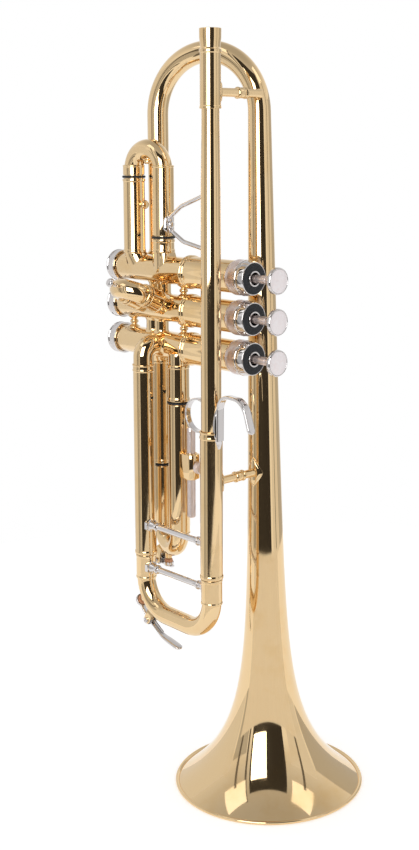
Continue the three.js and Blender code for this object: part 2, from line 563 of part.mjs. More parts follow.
// ---------------------------------------------------------------- second slide
// It is built along +Z and then turned to point to the player's right, rising a little.
const aimSecond = (geometry) => at(geometry.rotateX(Math.PI / 2 - SECOND.rise), 0, VALVE.y, VALVE.z[1]);
const secondTube = (x) => cut(aimSecond(join(
  at(sleeve(6.6, 5.8, 6, 12), x, 0, 0),
  fixedSleeve(x, 0, 11, SECOND.sleeveEnd))), casingTools[1]);
place("second_slide_tube_upper", secondTube(SECOND.nearX), "lacquer");
place("second_slide_tube_lower", secondTube(SECOND.farX), "lacquer");

const near = { x: SECOND.nearX, y: 0 };
const far = { x: SECOND.farX, y: 0 };
const knob = at(turnedSolid([[0, -1.2], [1.3, -1.2], [1.1, 3], [2.4, 3.6], [2.9, 5], [2.2, 6.4], [0, 7]], 12),
  (SECOND.nearX + SECOND.farX) / 2, 0, SECOND.bendStart + 9.3 + SLIDE.inner);
place("second_slide", aimSecond(join(
  crook(near, far, SECOND.bendStart, 13, 13),
  band(near, SECOND.sleeveEnd + GAP, SECOND.bendStart + 0.6),
  band(far, SECOND.sleeveEnd + GAP, SECOND.bendStart + 0.6),
  knob)), "lacquer");

// ---------------------------------------------------------------- third slide
const { lower: thirdLower, upper: thirdUpper } = THIRD;
[["lower", thirdLower], ["upper", thirdUpper]].forEach(([name, { x, y, sleeveZ }]) => {
  const port = straightPort(x, y, THIRD.portZ - 3, 2);
  place(`third_slide_tube_${name}`, join(fixedSleeve(x, y, sleeveZ, THIRD.portZ), port), "lacquer");
});
const thirdCrook = crook(
  thirdLower, thirdUpper, THIRD.bendZ, thirdLower.sleeveZ + 50, thirdUpper.sleeveZ + 18);
const { drainX, y: drainY, cupZ } = THIRD_KEY;
place("third_slide", join(
  thirdCrook,
  band(thirdLower, THIRD.bendZ - 0.4, thirdLower.sleeveZ - 3),
  band(thirdUpper, THIRD.bendZ - 0.4, thirdUpper.sleeveZ - 3),
  rod([drainX, drainY, cupZ + 10], [drainX, drainY, cupZ + 4], 2.4),
), "lacquer");

// ---------------------------------------------------------------- adjustable finger ring
// The ring's rod slides in a block on the third slide, and a thumb screw clamps it.
const blockSize = [RING_BLOCK.frontX - RING_BLOCK.backX, RING_BLOCK.depth, RING_BLOCK.height];
const blockX = (RING_BLOCK.frontX + RING_BLOCK.backX) / 2;
const aroundBlock = (radius, x, y) => at(plug(radius, RING_BLOCK.z - 20, RING_BLOCK.z + 20), x, y, 0);
place("ring_holder", cut(
  new THREE.BoxGeometry(...blockSize).translate(blockX, RING.y, RING_BLOCK.z),
  aroundBlock(SLIDE.outer + GAP, thirdUpper.x, thirdUpper.y),
  aroundBlock(RING.rodRadius + GAP, RING.rodX, RING.y),
  rod([RING.rodX, RING.y, RING_BLOCK.z], [RING_BLOCK.frontX + 2, RING.y, RING_BLOCK.z], 1.8),
), "lacquer");

const ringBand = sleeve(RING.radius, RING.radius - 1.3, -RING.band / 2, RING.band / 2, 28);
place("finger_ring", join(
  at(alongY(ringBand), RING.x, RING.y, RING.z),
  rod([RING.rodX, RING.y, 178.5], [RING.rodX, RING.y, 237.6], RING.rodRadius, 12),
), "nickel");

const screwProfile = [
  [0, 3.4], [1.4, 3.4], [1.4, 5.4], [3.2, 5.6], [3.9, 6.4], [3.9, 8.4], [3.2, 9.2], [0, 9.2],
];
place("ring_thumb_screw", at(toX(turnedSolid(screwProfile, 14)), RING.rodX, RING.y, RING_BLOCK.z), "nickel");

// ---------------------------------------------------------------- third slide's water key
const { pinX, pinZ, halfWidth } = THIRD_KEY;
const thirdPin = [pinX, drainY, pinZ];
const thirdEarFoot = [pinX + 1.8, drainY, pinZ + 7.5];
const thirdBase = new THREE.BoxGeometry(6, 7.6, 3).rotateY(0.35).translate(pinX + 2.2, drainY, pinZ + 8);
const thirdSaddle = join(
  ...ears(thirdEarFoot, thirdPin, halfWidth), thirdBase, at(crossPin(4.6), ...thirdPin));
const aroundCrook = crook(
  thirdLower, thirdUpper, THIRD.bendZ, thirdLower.sleeveZ, thirdUpper.sleeveZ, SLIDE.inner + GAP, 0);
place("third_water_key_saddle", cut(thirdSaddle, aroundCrook), "lacquer");

const thirdLeverRoute = [
  [drainX + 4, drainY, cupZ - 1.1], [pinX, drainY, cupZ - 0.4], [pinX - 8, drainY, cupZ + 7],
];
const thirdLever = join(
  strip(thirdLeverRoute, 8, 3.6, 1.5, 4),
  at(barrel(2.2, 2), ...thirdPin),
  at(turnedSolid(cupProfile(3.5), 14), drainX, drainY, cupZ),
);
place("third_water_key", cut(thirdLever, at(barrel(1.05, 4), ...thirdPin)), "nickel");
place("third_water_key_cork", at(plug(2.7, 0.3, 3.4, 14), drainX, drainY, cupZ), "cork");

export default trumpet;
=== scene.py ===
"""A three-valve trumpet standing on the rim of its bell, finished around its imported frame.

Shapes are worked out in millimetres in the level frame, where the tubes run along Z and the valves
along X. That frame leans a little against the bell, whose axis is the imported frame's own Z.
"""

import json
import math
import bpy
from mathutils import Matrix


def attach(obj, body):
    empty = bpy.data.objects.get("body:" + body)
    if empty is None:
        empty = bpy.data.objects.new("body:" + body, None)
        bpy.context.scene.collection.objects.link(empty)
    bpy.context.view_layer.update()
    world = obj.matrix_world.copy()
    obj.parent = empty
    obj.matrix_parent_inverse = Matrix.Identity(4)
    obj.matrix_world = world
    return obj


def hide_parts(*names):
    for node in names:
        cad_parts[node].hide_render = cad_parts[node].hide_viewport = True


bl_info = {
    "name": "Standing Trumpet",
    "version": (1, 0, 0),
    "blender": (4, 5, 0),
    "location": "View3D > Sidebar > Trumpet",
    "description": "Builds a lacquered trumpet around its frame, with a pale studio for it",
    "category": "Add Mesh",
}

import bmesh
import bpy
import numpy as np
from mathutils import Matrix

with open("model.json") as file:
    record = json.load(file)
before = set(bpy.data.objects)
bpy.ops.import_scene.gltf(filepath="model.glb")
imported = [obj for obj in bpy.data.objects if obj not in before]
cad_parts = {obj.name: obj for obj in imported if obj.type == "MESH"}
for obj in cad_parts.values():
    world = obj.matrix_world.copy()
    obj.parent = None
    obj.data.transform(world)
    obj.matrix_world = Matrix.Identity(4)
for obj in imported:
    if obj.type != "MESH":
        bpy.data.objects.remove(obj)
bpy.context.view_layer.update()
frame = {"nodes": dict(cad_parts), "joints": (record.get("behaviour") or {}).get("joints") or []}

# ---------------------------------------------------------------- the frame's sizes
TAU = 2 * math.pi
X, Y, Z = np.eye(3)
PIVOT = 300.0  # height that the level frame leans about
VALVE_WAY = next(j["axis"] for j in frame["joints"] if j["name"] == "valve_1_press")
LEAN = math.atan2(VALVE_WAY[2], -VALVE_WAY[0])
LEVEL = np.array([
    [math.cos(LEAN), 0, math.sin(LEAN)],
    [0, 1, 0],
    [-math.sin(LEAN), 0, math.cos(LEAN)],
])


def to_frame(points):
    """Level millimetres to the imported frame's: turned by LEAN about Y through the height PIVOT."""
    return (points - PIVOT * Z) @ LEVEL.T + PIVOT * Z


def reach(node):
    """Lowest and highest level corner of a node, in millimetres."""
    data = frame["nodes"][node].data
    points = np.empty(len(data.vertices) * 3, np.float32)
    data.vertices.foreach_get("co", points)
    level = (points.reshape(-1, 3) * 1000 - PIVOT * Z) @ LEVEL + PIVOT * Z
    return level.min(0), level.max(0)


def middle(node):
    """The middle of a node's level box."""
    low, high = reach(node)
    return (low + high) / 2


def heights(node):
    """Lowest and highest level height of a node."""
    low, high = reach(node)
    return low[2], high[2]


VALVES = [middle(f"valve_casing_{n}") for n in (1, 2, 3)]
VALVE_Y = VALVES[0][1]
CASING_LOW, CASING_HIGH = (corner[0] for corner in reach("valve_casing_1"))
LEAD = middle("leadpipe")
LEG_X, LEG_Y = -60.5, -45.8  # the lower leg of the main tuning slide
RING_Z, SLEEVE_TOP = heights("upper_slide_tube")  # the ends of the main slide's fixed tube
FERRULE_Z = SLEEVE_TOP - 1.5
LEG_FERRULE_Z = 274.0
BOW_Z = 135.0  # where the main slide's legs meet its bow
BOW_BEND = 22.0
LEG_RADIUS = 6.1  # of every slide's bow
BOW_EDGE = BOW_BEND + LEG_RADIUS
DRAIN_ANGLE = 0.611  # below the horizontal, round the bow's left bend
PIN_ANGLE = 1.02
THIRD_DRAIN = np.array([-58.3, -28.2, 139.0])
FIRST_A = np.array([-83.9, -32.3])  # the first slide's longer leg
FIRST_B = middle("first_slide_tube_upper")[:2]
THIRD_A = middle("third_slide_tube_lower")[:2]
THIRD_B = middle("third_slide_tube_upper")[:2]
BELL_RIM = 61.5
BELL_TUBE = 6.7
BELL_TOP = 432.0  # where the bell's tail meets its bow
STAY_X, STAYS = 3.0, {"upper": 442.0, "lower": 210.0}  # the bell's stays and their heights
BORE_EDGE = 8.5  # from a valve's axis to the middle of its casing's wall
SECOND_RISE = 0.419


# ---------------------------------------------------------------- settings
class TrumpetFinish(bpy.types.PropertyGroup):
    """Colours and polish of the metal, shell, felt and cork."""

    brass: bpy.props.FloatVectorProperty(
        name="Brass", description="Colour of the lacquered brass", subtype="COLOR",
        size=3, min=0, max=1, default=(0.81, 0.595, 0.335))
    warm_brass: bpy.props.FloatVectorProperty(
        name="Warm Brass", description="Colour where the lacquer is thicker", subtype="COLOR",
        size=3, min=0, max=1, default=(0.77, 0.53, 0.26))
    nickel: bpy.props.FloatVectorProperty(
        name="Nickel", description="Colour of the nickel plate", subtype="COLOR",
        size=3, min=0, max=1, default=(0.68, 0.65, 0.64))
    pearl: bpy.props.FloatVectorProperty(
        name="Pearl", description="Colour of the button discs", subtype="COLOR",
        size=3, min=0, max=1, default=(0.80, 0.72, 0.72))
    cork: bpy.props.FloatVectorProperty(
        name="Cork", description="Colour of the water keys' corks", subtype="COLOR",
        size=3, min=0, max=1, default=(0.74, 0.37, 0.20))
    polish: bpy.props.FloatProperty(
        name="Polish", description="Roughness of the clean lacquer", min=0, max=1, default=0.045)


class TrumpetTurning(bpy.types.PropertyGroup):
    """How finely the surfaces are worked out."""

    sides: bpy.props.IntProperty(
        name="Sides", description="Facets round a tube", min=12, max=128, default=56)
    bell_sides: bpy.props.IntProperty(
        name="Bell Sides", description="Facets round the bell", min=24, max=256, default=160)
    ridges: bpy.props.IntProperty(
        name="Ridges", description="Knurl ridges round a cap", min=12, max=160, default=72)
    edge: bpy.props.FloatProperty(
        name="Edge", description="How far a turned edge is eased, in millimetres", min=0, max=2, default=0.35)


class TrumpetStudio(bpy.types.PropertyGroup):
    """The camera and the light."""

    bearing: bpy.props.FloatProperty(
        name="Bearing", description="Where the camera stands round the trumpet", subtype="ANGLE",
        default=math.radians(47.033))
    distance: bpy.props.FloatProperty(
        name="Distance", description="Camera to the bell's axis", unit="LENGTH", default=0.765564)
    height: bpy.props.FloatProperty(
        name="Height", description="Camera above the floor", unit="LENGTH", default=0.39837)
    aside: bpy.props.FloatProperty(
        name="Aside", description="Camera shift to its right", unit="LENGTH", default=-0.033608)
    pitch: bpy.props.FloatProperty(
        name="Pitch", description="How far the camera looks down", subtype="ANGLE",
        default=math.radians(9.774))
    roll: bpy.props.FloatProperty(
        name="Roll", description="The camera's roll", subtype="ANGLE", default=math.radians(-1.205))
    lens: bpy.props.FloatProperty(
        name="Lens", description="Focal length in millimetres", min=10, max=200, default=52.517)
    surround: bpy.props.FloatProperty(
        name="Surround", description="Brightness of the white surround", min=0, max=10, default=1.0)
    softbox: bpy.props.FloatProperty(
        name="Softbox", description="Brightness of the front softbox", min=0, max=50, default=4.5)


# ---------------------------------------------------------------- surfaces
def unit(vectors):
    return vectors / np.linalg.norm(vectors, axis=-1, keepdims=True)


def grid(points, wrap_rows=False, wrap_columns=True):
    """Points[row, column] and the quads between them; a wrapped side joins its last line to its first."""
    rows, columns = points.shape[:2]
    row = np.arange(rows if wrap_rows else rows - 1)
    column = np.arange(columns if wrap_columns else columns - 1)
    row, column = np.meshgrid(row, column, indexing="ij")
    below, beside = (row + 1) % rows, (column + 1) % columns
    corners = [row * columns + column, below * columns + column,
               below * columns + beside, row * columns + beside]
    return facing_out(points.reshape(-1, 3), np.stack(corners, -1).reshape(-1, 4))


def facing_out(points, quads):
    """The quads turned over where the volume that they enclose comes out negative."""
    a, b, c, d = (points[quads[:, i]] for i in range(4))
    volume = (a * (np.cross(b, c) + np.cross(c, d))).sum()
    return points, quads if volume > 0 else quads[:, ::-1]


def eased(outline, reach_mm=0.35, closed=True, steps=4):
    """An outline with each corner replaced by a short parabola from one side to the next.

    It leaves each side `reach_mm` from the corner, or 0.45 of a shorter side; an open outline keeps its ends.
    """
    corner = np.asarray(outline, float)
    before, after = np.roll(corner, 1, 0) - corner, np.roll(corner, -1, 0) - corner
    lengths = np.stack([np.linalg.norm(before, axis=1), np.linalg.norm(after, axis=1)])
    cut = np.minimum(reach_mm, 0.45 * lengths.min(0))[:, None]
    start, end = corner + unit(before) * cut, corner + unit(after) * cut
    t = np.linspace(0, 1, steps)[None, :, None]
    curve = start[:, None] * (1 - t) ** 2 + 2 * corner[:, None] * t * (1 - t) + end[:, None] * t**2
    if closed:
        return curve.reshape(-1, 2)
    return np.concatenate([corner[:1], curve[1:-1].reshape(-1, 2), corner[-1:]])


def across(axis):
    """Two directions square to an axis and to each other."""
    axis = unit(np.asarray(axis, float))
    helper = X if abs(axis[0]) < 0.9 else Y
    side = unit(np.cross(axis, helper))
    return side, np.cross(axis, side)


def turned(profile, foot, axis=Z, sides=None, closed=True, ripple=None):
    """A profile of [radius, height] turned about an axis.

    Point = foot + height * axis + (radius + ripple(angle, height)) * (cos angle * side + sin angle * other).
    A closed profile makes a ring; an open one starts and ends on the axis.
    """
    profile = np.asarray(profile, float)
    axis = unit(np.asarray(axis, float))
    side, other = across(axis)
    angle = np.linspace(0, TAU, sides or turning().sides, endpoint=False)
    radius = profile[:, :1] + (ripple(angle[None], profile[:, 1:]) if ripple else 0 * angle[None])
    around = np.cos(angle)[:, None] * side + np.sin(angle)[:, None] * other
    points = np.asarray(foot) + profile[:, 1, None, None] * axis + radius[:, :, None] * around[None]
    return grid(points, wrap_rows=closed)


def lathe(profile, foot, axis=Z, edge=None, **more):
    """A ring turned from a closed outline whose corners are eased."""
    return turned(eased(profile, turning().edge if edge is None else edge), foot, axis, **more)


def spindle(profile, foot, axis=Z, edge=None, **more):
    """A solid turned from an outline that starts and ends on the axis, its corners eased."""
    outline = eased(profile, turning().edge if edge is None else edge, closed=False)
    return turned(outline, foot, axis, closed=False, **more)


def tube(radius, bore, low, high, foot, axis=Z, edge=0.2):
    return lathe([[bore, low], [radius, low], [radius, high], [bore, high]], foot, axis, edge)


def route(corners, bends, step=3.0):
    """Straight runs whose corners are arcs, as points and the directions there.

    On an arc the point is start + bend * (sin w * into + (1 - cos w) * across), and w goes from 0 to the turn.
    """
    corners = [np.asarray(corner, float) for corner in corners]
    bends = bends if isinstance(bends, (list, tuple)) else [bends] * (len(corners) - 2)
    points, ways = [], []
    start = corners[0]
    for corner, following, bend in zip(corners[1:-1], corners[2:], bends):
        into, out = unit(corner - start), unit(following - corner)
        turn = math.acos(float(np.clip(into @ out, -1, 1)))
        square = unit(out - (into @ out) * into)
        leave = corner - into * bend * math.tan(turn / 2)
        run = np.linspace(0, 1, max(2, int(np.linalg.norm(leave - start) / step)), endpoint=False)[:, None]
        w = np.linspace(0, turn, max(6, int(math.degrees(turn) / 4)), endpoint=False)[:, None]
        points += [start + (leave - start) * run, leave + bend * (np.sin(w) * into + (1 - np.cos(w)) * square)]
        ways += [np.repeat(into[None], len(run), 0), np.cos(w) * into + np.sin(w) * square]
        start = leave + bend * (math.sin(turn) * into + (1 - math.cos(turn)) * square)
    last = unit(corners[-1] - start)
    run = np.linspace(0, 1, max(2, int(np.linalg.norm(corners[-1] - start) / step)))[:, None]
    points.append(start + (corners[-1] - start) * run)
    ways.append(np.repeat(last[None], len(run), 0))
    return np.concatenate(points), unit(np.concatenate(ways))


def ring_of(sides):
    """A circle of radius 1 as an outline."""
    angle = np.linspace(0, TAU, sides, endpoint=False)
    return np.stack([np.cos(angle), np.sin(angle)], -1)


def oblong(width, height, sides=32, power=4.0):
    """A rounded rectangle: |x / w| ** power + |y / h| ** power = 1."""
    angle = np.linspace(0, TAU, sides, endpoint=False)
    c, s = np.cos(angle), np.sin(angle)
    scale = (np.abs(c) ** power + np.abs(s) ** power) ** (-1 / power)
    return np.stack([c * scale * width / 2, s * scale * height / 2], -1)


def carried(path, outline, up, size):
    """An outline carried along a path: point = centre + size * (u * side + v * other).

    Side is square to the path and to `up`, and other to the path and to side. The ends close on their centres.
    """
    centre, way = path
    side = unit(np.cross(way, up))
    other = np.cross(side, way)
    size = np.broadcast_to(np.asarray(size, float), (len(centre),))[:, None, None]
    u, v = outline[:, 0, None], outline[:, 1, None]
    outside = centre[:, None] + size * (u * side[:, None] + v * other[:, None])
    caps = [np.repeat(end[None, None], len(outline), 1) for end in (centre[0], centre[-1])]
    return grid(np.concatenate([caps[0], outside, caps[1]]))


def run_length(points):
    """How far along a line each of its points is."""
    return np.concatenate([[0], np.cumsum(np.linalg.norm(np.diff(points, axis=0), axis=1))])


def pipe(corners, bends, radius, up, step=3.0):
    """A round tube along a route."""
    return carried(route(corners, bends, step), ring_of(turning().sides), up, radius)


def wire(corners, bends, radius, up):
    """A round wire along a route, with a half ball at each end."""
    path = route(corners, bends, 0.5)
    length = run_length(path[0])
    near = np.minimum(np.minimum(length, length[-1] - length), radius)
    return carried(path, ring_of(24), up, np.sqrt(np.maximum(radius**2 - (radius - near) ** 2, 1e-6)))


def coiled(line, up, radius, sides):
    """A fine round wire along a line of points."""
    return carried((line, unit(np.gradient(line, axis=0))), ring_of(sides), up, radius)


def plate(outline, foot, way, up, thickness, edge=0.25):
    """A flat plate whose outline shrinks a little at both faces, so that its edge catches the light."""
    way = unit(np.asarray(way, float))
    height = np.array([0, edge * 0.3, edge, thickness - edge, thickness - edge * 0.3, thickness])
    centre = np.asarray(foot, float) + height[:, None] * way
    reach_mm = np.abs(outline).max()
    size = 1 - np.array([edge, edge * 0.3, 0, 0, edge * 0.3, edge]) / reach_mm
    return carried((centre, np.repeat(way[None], 6, 0)), outline, np.asarray(up, float), size)


def saddle_plate(centre, facing, radius, height, spread, thickness, power):
    """A thin pad that lies round a Z tube, pointed or oblong above and below.

    At s from -1 to 1 up the tube it covers the angles facing + t * spread * (1 - |s| ** power), and its outside
    stands thickness * (1 - e ** 4) proud, where e is the larger of |s| and |t|.
    """
    s, t = np.linspace(-1, 1, 25)[:, None], np.linspace(-1, 1, 25)[None, :]
    angle = facing + t * spread * (1 - np.abs(s) ** power)
    crest = 1 - np.maximum(np.abs(s), np.abs(t)) ** 4
    z = centre[2] + s * height / 2 + 0 * t
    layers = [
        np.stack([centre[0] + r * np.cos(angle), centre[1] + r * np.sin(angle), z], -1)
        for r in (radius + 0.05 + thickness * crest, radius - 0.1 + 0 * crest)
    ]
    return grid(np.concatenate([layers[0], layers[1][:, ::-1]], axis=1))


def moved(surface, change):
    """The same surface with its points passed through a function."""
    points, quads = surface
    return facing_out(change(points), quads)


# ---------------------------------------------------------------- pieces
def turning():
    return bpy.context.scene.trumpet_turning


def piece(name, body, slot, surfaces, level=True, sharp=40):
    """One finished piece: its surfaces joined, put in the frame in metres, riding on a body.

    Each surface is (points, quads) in the slot's finish, or (surface, finish) in another. A piece that has
    the name of a node replaces it.
    """
    points, quads, finishes, used = [], [], [], []
    offset = 0
    for entry in surfaces:
        surface, finish = entry if isinstance(entry[1], str) else (entry, slot)
        if finish not in used:
            used.append(finish)
        points.append(surface[0])
        quads.append(surface[1] + offset)
        finishes.append(np.full(len(surface[1]), used.index(finish), np.int32))
        offset += len(surface[0])
    points = np.concatenate(points)
    points = (to_frame(points) if level else points) / 1000
    mesh = bpy.data.meshes.new(name)
    mesh.from_pydata(points, [], np.concatenate(quads).tolist())
    mesh.polygons.foreach_set("material_index", np.concatenate(finishes))
    shell = bmesh.new()
    shell.from_mesh(mesh)
    bmesh.ops.remove_doubles(shell, verts=shell.verts, dist=1e-7)
    shell.to_mesh(mesh)
    shell.free()
    mesh.shade_smooth()
    mesh.set_sharp_from_angle(angle=math.radians(sharp))
    for finish in used:
        mesh.materials.append(material(finish))
    thing = bpy.data.objects.new(name, mesh)
    bpy.context.scene.collection.objects.link(thing)
    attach(thing, body)
    if name in frame["nodes"]:
        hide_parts(name)
    return thing


# ---------------------------------------------------------------- materials
def socket(group, name, direction, kind="NodeSocketFloat", value=None):
    made = group.interface.new_socket(name=name, in_out=direction, socket_type=kind)
    if value is not None:
        made.default_value = value


def new_node(tree, kind, **settings):
    node = tree.nodes.new(kind)
    for name, value in settings.items():
        if name in node.inputs:
            node.inputs[name].default_value = value
        else:
            setattr(node, name, value)
    return node


def spread(tree, value, low, high, floor, top):
    """Maps value from low..high to floor..top."""
    node = new_node(tree, "ShaderNodeMapRange")
    tree.links.new(value, node.inputs["Value"])
    for name, number in zip(("From Min", "From Max", "To Min", "To Max"), (low, high, floor, top)):
        node.inputs[name].default_value = number
    return node.outputs["Result"]


def handling_group():
    """Faint smudges of handling and fine polishing hairlines over Object coordinates.

    Smudge is cloudy noise kept to its upper third; Hairline is a noise stretched a hundredfold along Z.
    """
    name = "Handling Marks"
    if name in bpy.data.node_groups:
        return bpy.data.node_groups[name]
    group = bpy.data.node_groups.new(name, "ShaderNodeTree")
    socket(group, "Cloud Scale", "INPUT", value=26.0)
    socket(group, "Clean Roughness", "INPUT", value=0.05)
    socket(group, "Smudged Roughness", "INPUT", value=0.16)
    socket(group, "Roughness", "OUTPUT")
    socket(group, "Smudge", "OUTPUT")
    socket(group, "Hairline", "OUTPUT")
    inside, outside = new_node(group, "NodeGroupInput"), new_node(group, "NodeGroupOutput")
    place = new_node(group, "ShaderNodeTexCoord")
    cloud = new_node(group, "ShaderNodeTexNoise", Detail=5.0, Roughness=0.62)
    group.links.new(place.outputs["Object"], cloud.inputs["Vector"])
    group.links.new(inside.outputs["Cloud Scale"], cloud.inputs["Scale"])
    smudge = spread(group, cloud.outputs["Fac"], 0.52, 0.74, 0.0, 1.0)
    stretch = new_node(group, "ShaderNodeMapping")
    stretch.inputs["Scale"].default_value = (900, 900, 9)
    group.links.new(place.outputs["Object"], stretch.inputs["Vector"])
    hair = new_node(group, "ShaderNodeTexNoise", Scale=1.0, Detail=2.0)
    group.links.new(stretch.outputs["Vector"], hair.inputs["Vector"])
    mix = new_node(group, "ShaderNodeMix", data_type="FLOAT")
    group.links.new(smudge, mix.inputs["Factor"])
    group.links.new(inside.outputs["Clean Roughness"], mix.inputs["A"])
    group.links.new(inside.outputs["Smudged Roughness"], mix.inputs["B"])
    group.links.new(mix.outputs["Result"], outside.inputs["Roughness"])
    group.links.new(smudge, outside.inputs["Smudge"])
    group.links.new(hair.outputs["Fac"], outside.inputs["Hairline"])
    return group


def grain_group():
    """Coarse and fine noise mixed half and half, for felt, cork and cast surfaces."""
    name = "Grain"
    if name in bpy.data.node_groups:
        return bpy.data.node_groups[name]
    group = bpy.data.node_groups.new(name, "ShaderNodeTree")
    socket(group, "Coarse Scale", "INPUT", value=400.0)
    socket(group, "Fine Scale", "INPUT", value=2500.0)
    socket(group, "Grain", "OUTPUT")
    inside, outside = new_node(group, "NodeGroupInput"), new_node(group, "NodeGroupOutput")
    place = new_node(group, "ShaderNodeTexCoord")
    made = []
    for scale in ("Coarse Scale", "Fine Scale"):
        noise = new_node(group, "ShaderNodeTexNoise", Detail=3.0)
        group.links.new(place.outputs["Object"], noise.inputs["Vector"])
        group.links.new(inside.outputs[scale], noise.inputs["Scale"])
        made.append(noise.outputs["Fac"])
    mix = new_node(group, "ShaderNodeMix", data_type="FLOAT")
    mix.inputs["Factor"].default_value = 0.5
    group.links.new(made[0], mix.inputs["A"])
    group.links.new(made[1], mix.inputs["B"])
    group.links.new(mix.outputs["Result"], outside.inputs["Grain"])
    return group


def place_group(tree, group, **values):
    node = new_node(tree, "ShaderNodeGroup")
    node.node_tree = group
    for name, value in values.items():
        node.inputs[name.replace("_", " ").title()].default_value = value
    return node


def blank(name, **sockets):
    """A material with one Principled shader, whose plain sockets are set."""
    made = bpy.data.materials.new(name)
    made.use_nodes = True
    shader = made.node_tree.nodes["Principled BSDF"]
    for key, value in sockets.items():
        shader.inputs[key.replace("_", " ")].default_value = value
    return made, made.node_tree, shader


def two_tone(tree, mask, first, second):
    mix = new_node(tree, "ShaderNodeMix", data_type="RGBA")
    colour_a, colour_b = [s for s in mix.inputs if s.type == "RGBA"]
    colour_a.default_value = (*first, 1)
    colour_b.default_value = (*second, 1)
    tree.links.new(mask, mix.inputs["Factor"])
    return next(s for s in mix.outputs if s.type == "RGBA")


def bumped(tree, shader, height, strength, distance):
    bump = new_node(tree, "ShaderNodeBump", Strength=strength, Distance=distance)
    tree.links.new(height, bump.inputs["Height"])
    tree.links.new(bump.outputs["Normal"], shader.inputs["Normal"])


def polished_metal(name, colour, tint, clean, smudged, cloud, coat):
    """Metal with a clear coat: its tint and roughness drift in clouds, and hairlines raise it by a micron."""
    made, tree, shader = blank(name, Metallic=1.0, Coat_Weight=coat, Coat_Roughness=0.02)
    marks = place_group(tree, handling_group(), cloud_scale=cloud, clean_roughness=clean,
                        smudged_roughness=smudged)
    colour_out = two_tone(tree, marks.outputs["Smudge"], colour, tint)
    tree.links.new(colour_out, shader.inputs["Base Color"])
    tree.links.new(marks.outputs["Roughness"], shader.inputs["Roughness"])
    bumped(tree, shader, marks.outputs["Hairline"], 0.06, 0.00002)
    return made


def shaded(colour, *factors):
    return tuple(c * k for c, k in zip(colour, factors))


def lacquer(finish):
    return polished_metal("lacquered_brass", finish.brass, finish.warm_brass, finish.polish,
                          finish.polish * 2.2, 30.0, 0.12)


def nickel(finish):
    warm = shaded(finish.nickel, 0.97, 0.94, 0.91)
    return polished_metal("nickel_plate", finish.nickel, warm, 0.05, 0.12, 60.0, 0.0)


def satin_nickel(finish):
    rosy = shaded(finish.nickel, 1.08, 0.98, 0.95)
    return polished_metal("satin_nickel", rosy, shaded(rosy, 0.84, 0.84, 0.84), 0.36, 0.5, 180.0, 0.0)


def spring_steel(finish):
    darker = shaded(finish.nickel, 0.55, 0.55, 0.55)
    return polished_metal("spring_steel", darker, shaded(darker, 0.8, 0.8, 0.8), 0.25, 0.4, 300.0, 0.0)


def pearl(finish):
    """Shell: soft bands of pink and cool white from a distorted noise, under a glossy coat."""
    made, tree, shader = blank("shell_pearl", Roughness=0.22, Coat_Weight=0.8, Coat_Roughness=0.04,
                               Specular_IOR_Level=0.6)
    place = new_node(tree, "ShaderNodeTexCoord")
    swirl = new_node(tree, "ShaderNodeTexNoise", Scale=260.0, Detail=4.0, Distortion=1.6)
    tree.links.new(place.outputs["Object"], swirl.inputs["Vector"])
    mask = spread(tree, swirl.outputs["Fac"], 0.35, 0.65, 0.0, 1.0)
    cool = shaded(finish.pearl, 1.02, 1.07, 1.08)
    tree.links.new(two_tone(tree, mask, finish.pearl, cool), shader.inputs["Base Color"])
    bumped(tree, shader, swirl.outputs["Fac"], 0.08, 0.0001)
    return made


def felt(_finish):
    """Black felt: its pile is fine grain, and a sheen catches the light at its edge."""
    made, tree, shader = blank("black_felt", Roughness=0.95, Sheen_Weight=0.12, Sheen_Roughness=0.5)
    grain = place_group(tree, grain_group(), coarse_scale=700.0, fine_scale=4200.0)
    tone = spread(tree, grain.outputs["Grain"], 0.35, 0.65, 0.0, 1.0)
    colour = two_tone(tree, tone, (0.006, 0.007, 0.009), (0.022, 0.024, 0.028))
    tree.links.new(colour, shader.inputs["Base Color"])
    bumped(tree, shader, grain.outputs["Grain"], 0.6, 0.0003)
    return made


def cork(finish):
    """Cork: dark specks and pores over a warm ground."""
    made, tree, shader = blank("cork", Roughness=0.85)
    grain = place_group(tree, grain_group(), coarse_scale=900.0, fine_scale=3000.0)
    specks = spread(tree, grain.outputs["Grain"], 0.38, 0.56, 0.0, 1.0)
    dark = shaded(finish.cork, 0.6, 0.6, 0.6)
    tree.links.new(two_tone(tree, specks, dark, finish.cork), shader.inputs["Base Color"])
    bumped(tree, shader, grain.outputs["Grain"], 0.5, 0.0002)
    return made


def rubber(_finish):
    """Black rubber, a little greasy from slide oil."""
    made, tree, shader = blank("black_rubber", Specular_IOR_Level=0.4)
    grain = place_group(tree, grain_group(), coarse_scale=500.0, fine_scale=2500.0)
    shade = spread(tree, grain.outputs["Grain"], 0.35, 0.65, 0.0, 1.0)
    colour = two_tone(tree, shade, (0.006, 0.006, 0.007), (0.014, 0.014, 0.015))
    tree.links.new(colour, shader.inputs["Base Color"])
    tree.links.new(spread(tree, grain.outputs["Grain"], 0.3, 0.7, 0.35, 0.6), shader.inputs["Roughness"])
    return made


FINISHES = {
    "lacquer": lacquer, "nickel": nickel, "satin": satin_nickel, "steel": spring_steel,
    "pearl": pearl, "felt": felt, "cork": cork, "rubber": rubber,
}
MADE = {}


def material(finish):
    if finish not in MADE:
        MADE[finish] = FINISHES[finish](bpy.context.scene.trumpet_finish)
    return MADE[finish]


# ---------------------------------------------------------------- bell and leadpipe
def bell_radius(z):
    """6.9 + 0.0145 * (440 - z) + 40.8 * e ** (-z / 30) + 7.4 * e ** (-z / 60), in millimetres."""
    return 6.9 + 0.0145 * (440 - z) + 40.8 * np.exp(-z / 30) + 7.4 * np.exp(-z / 60)


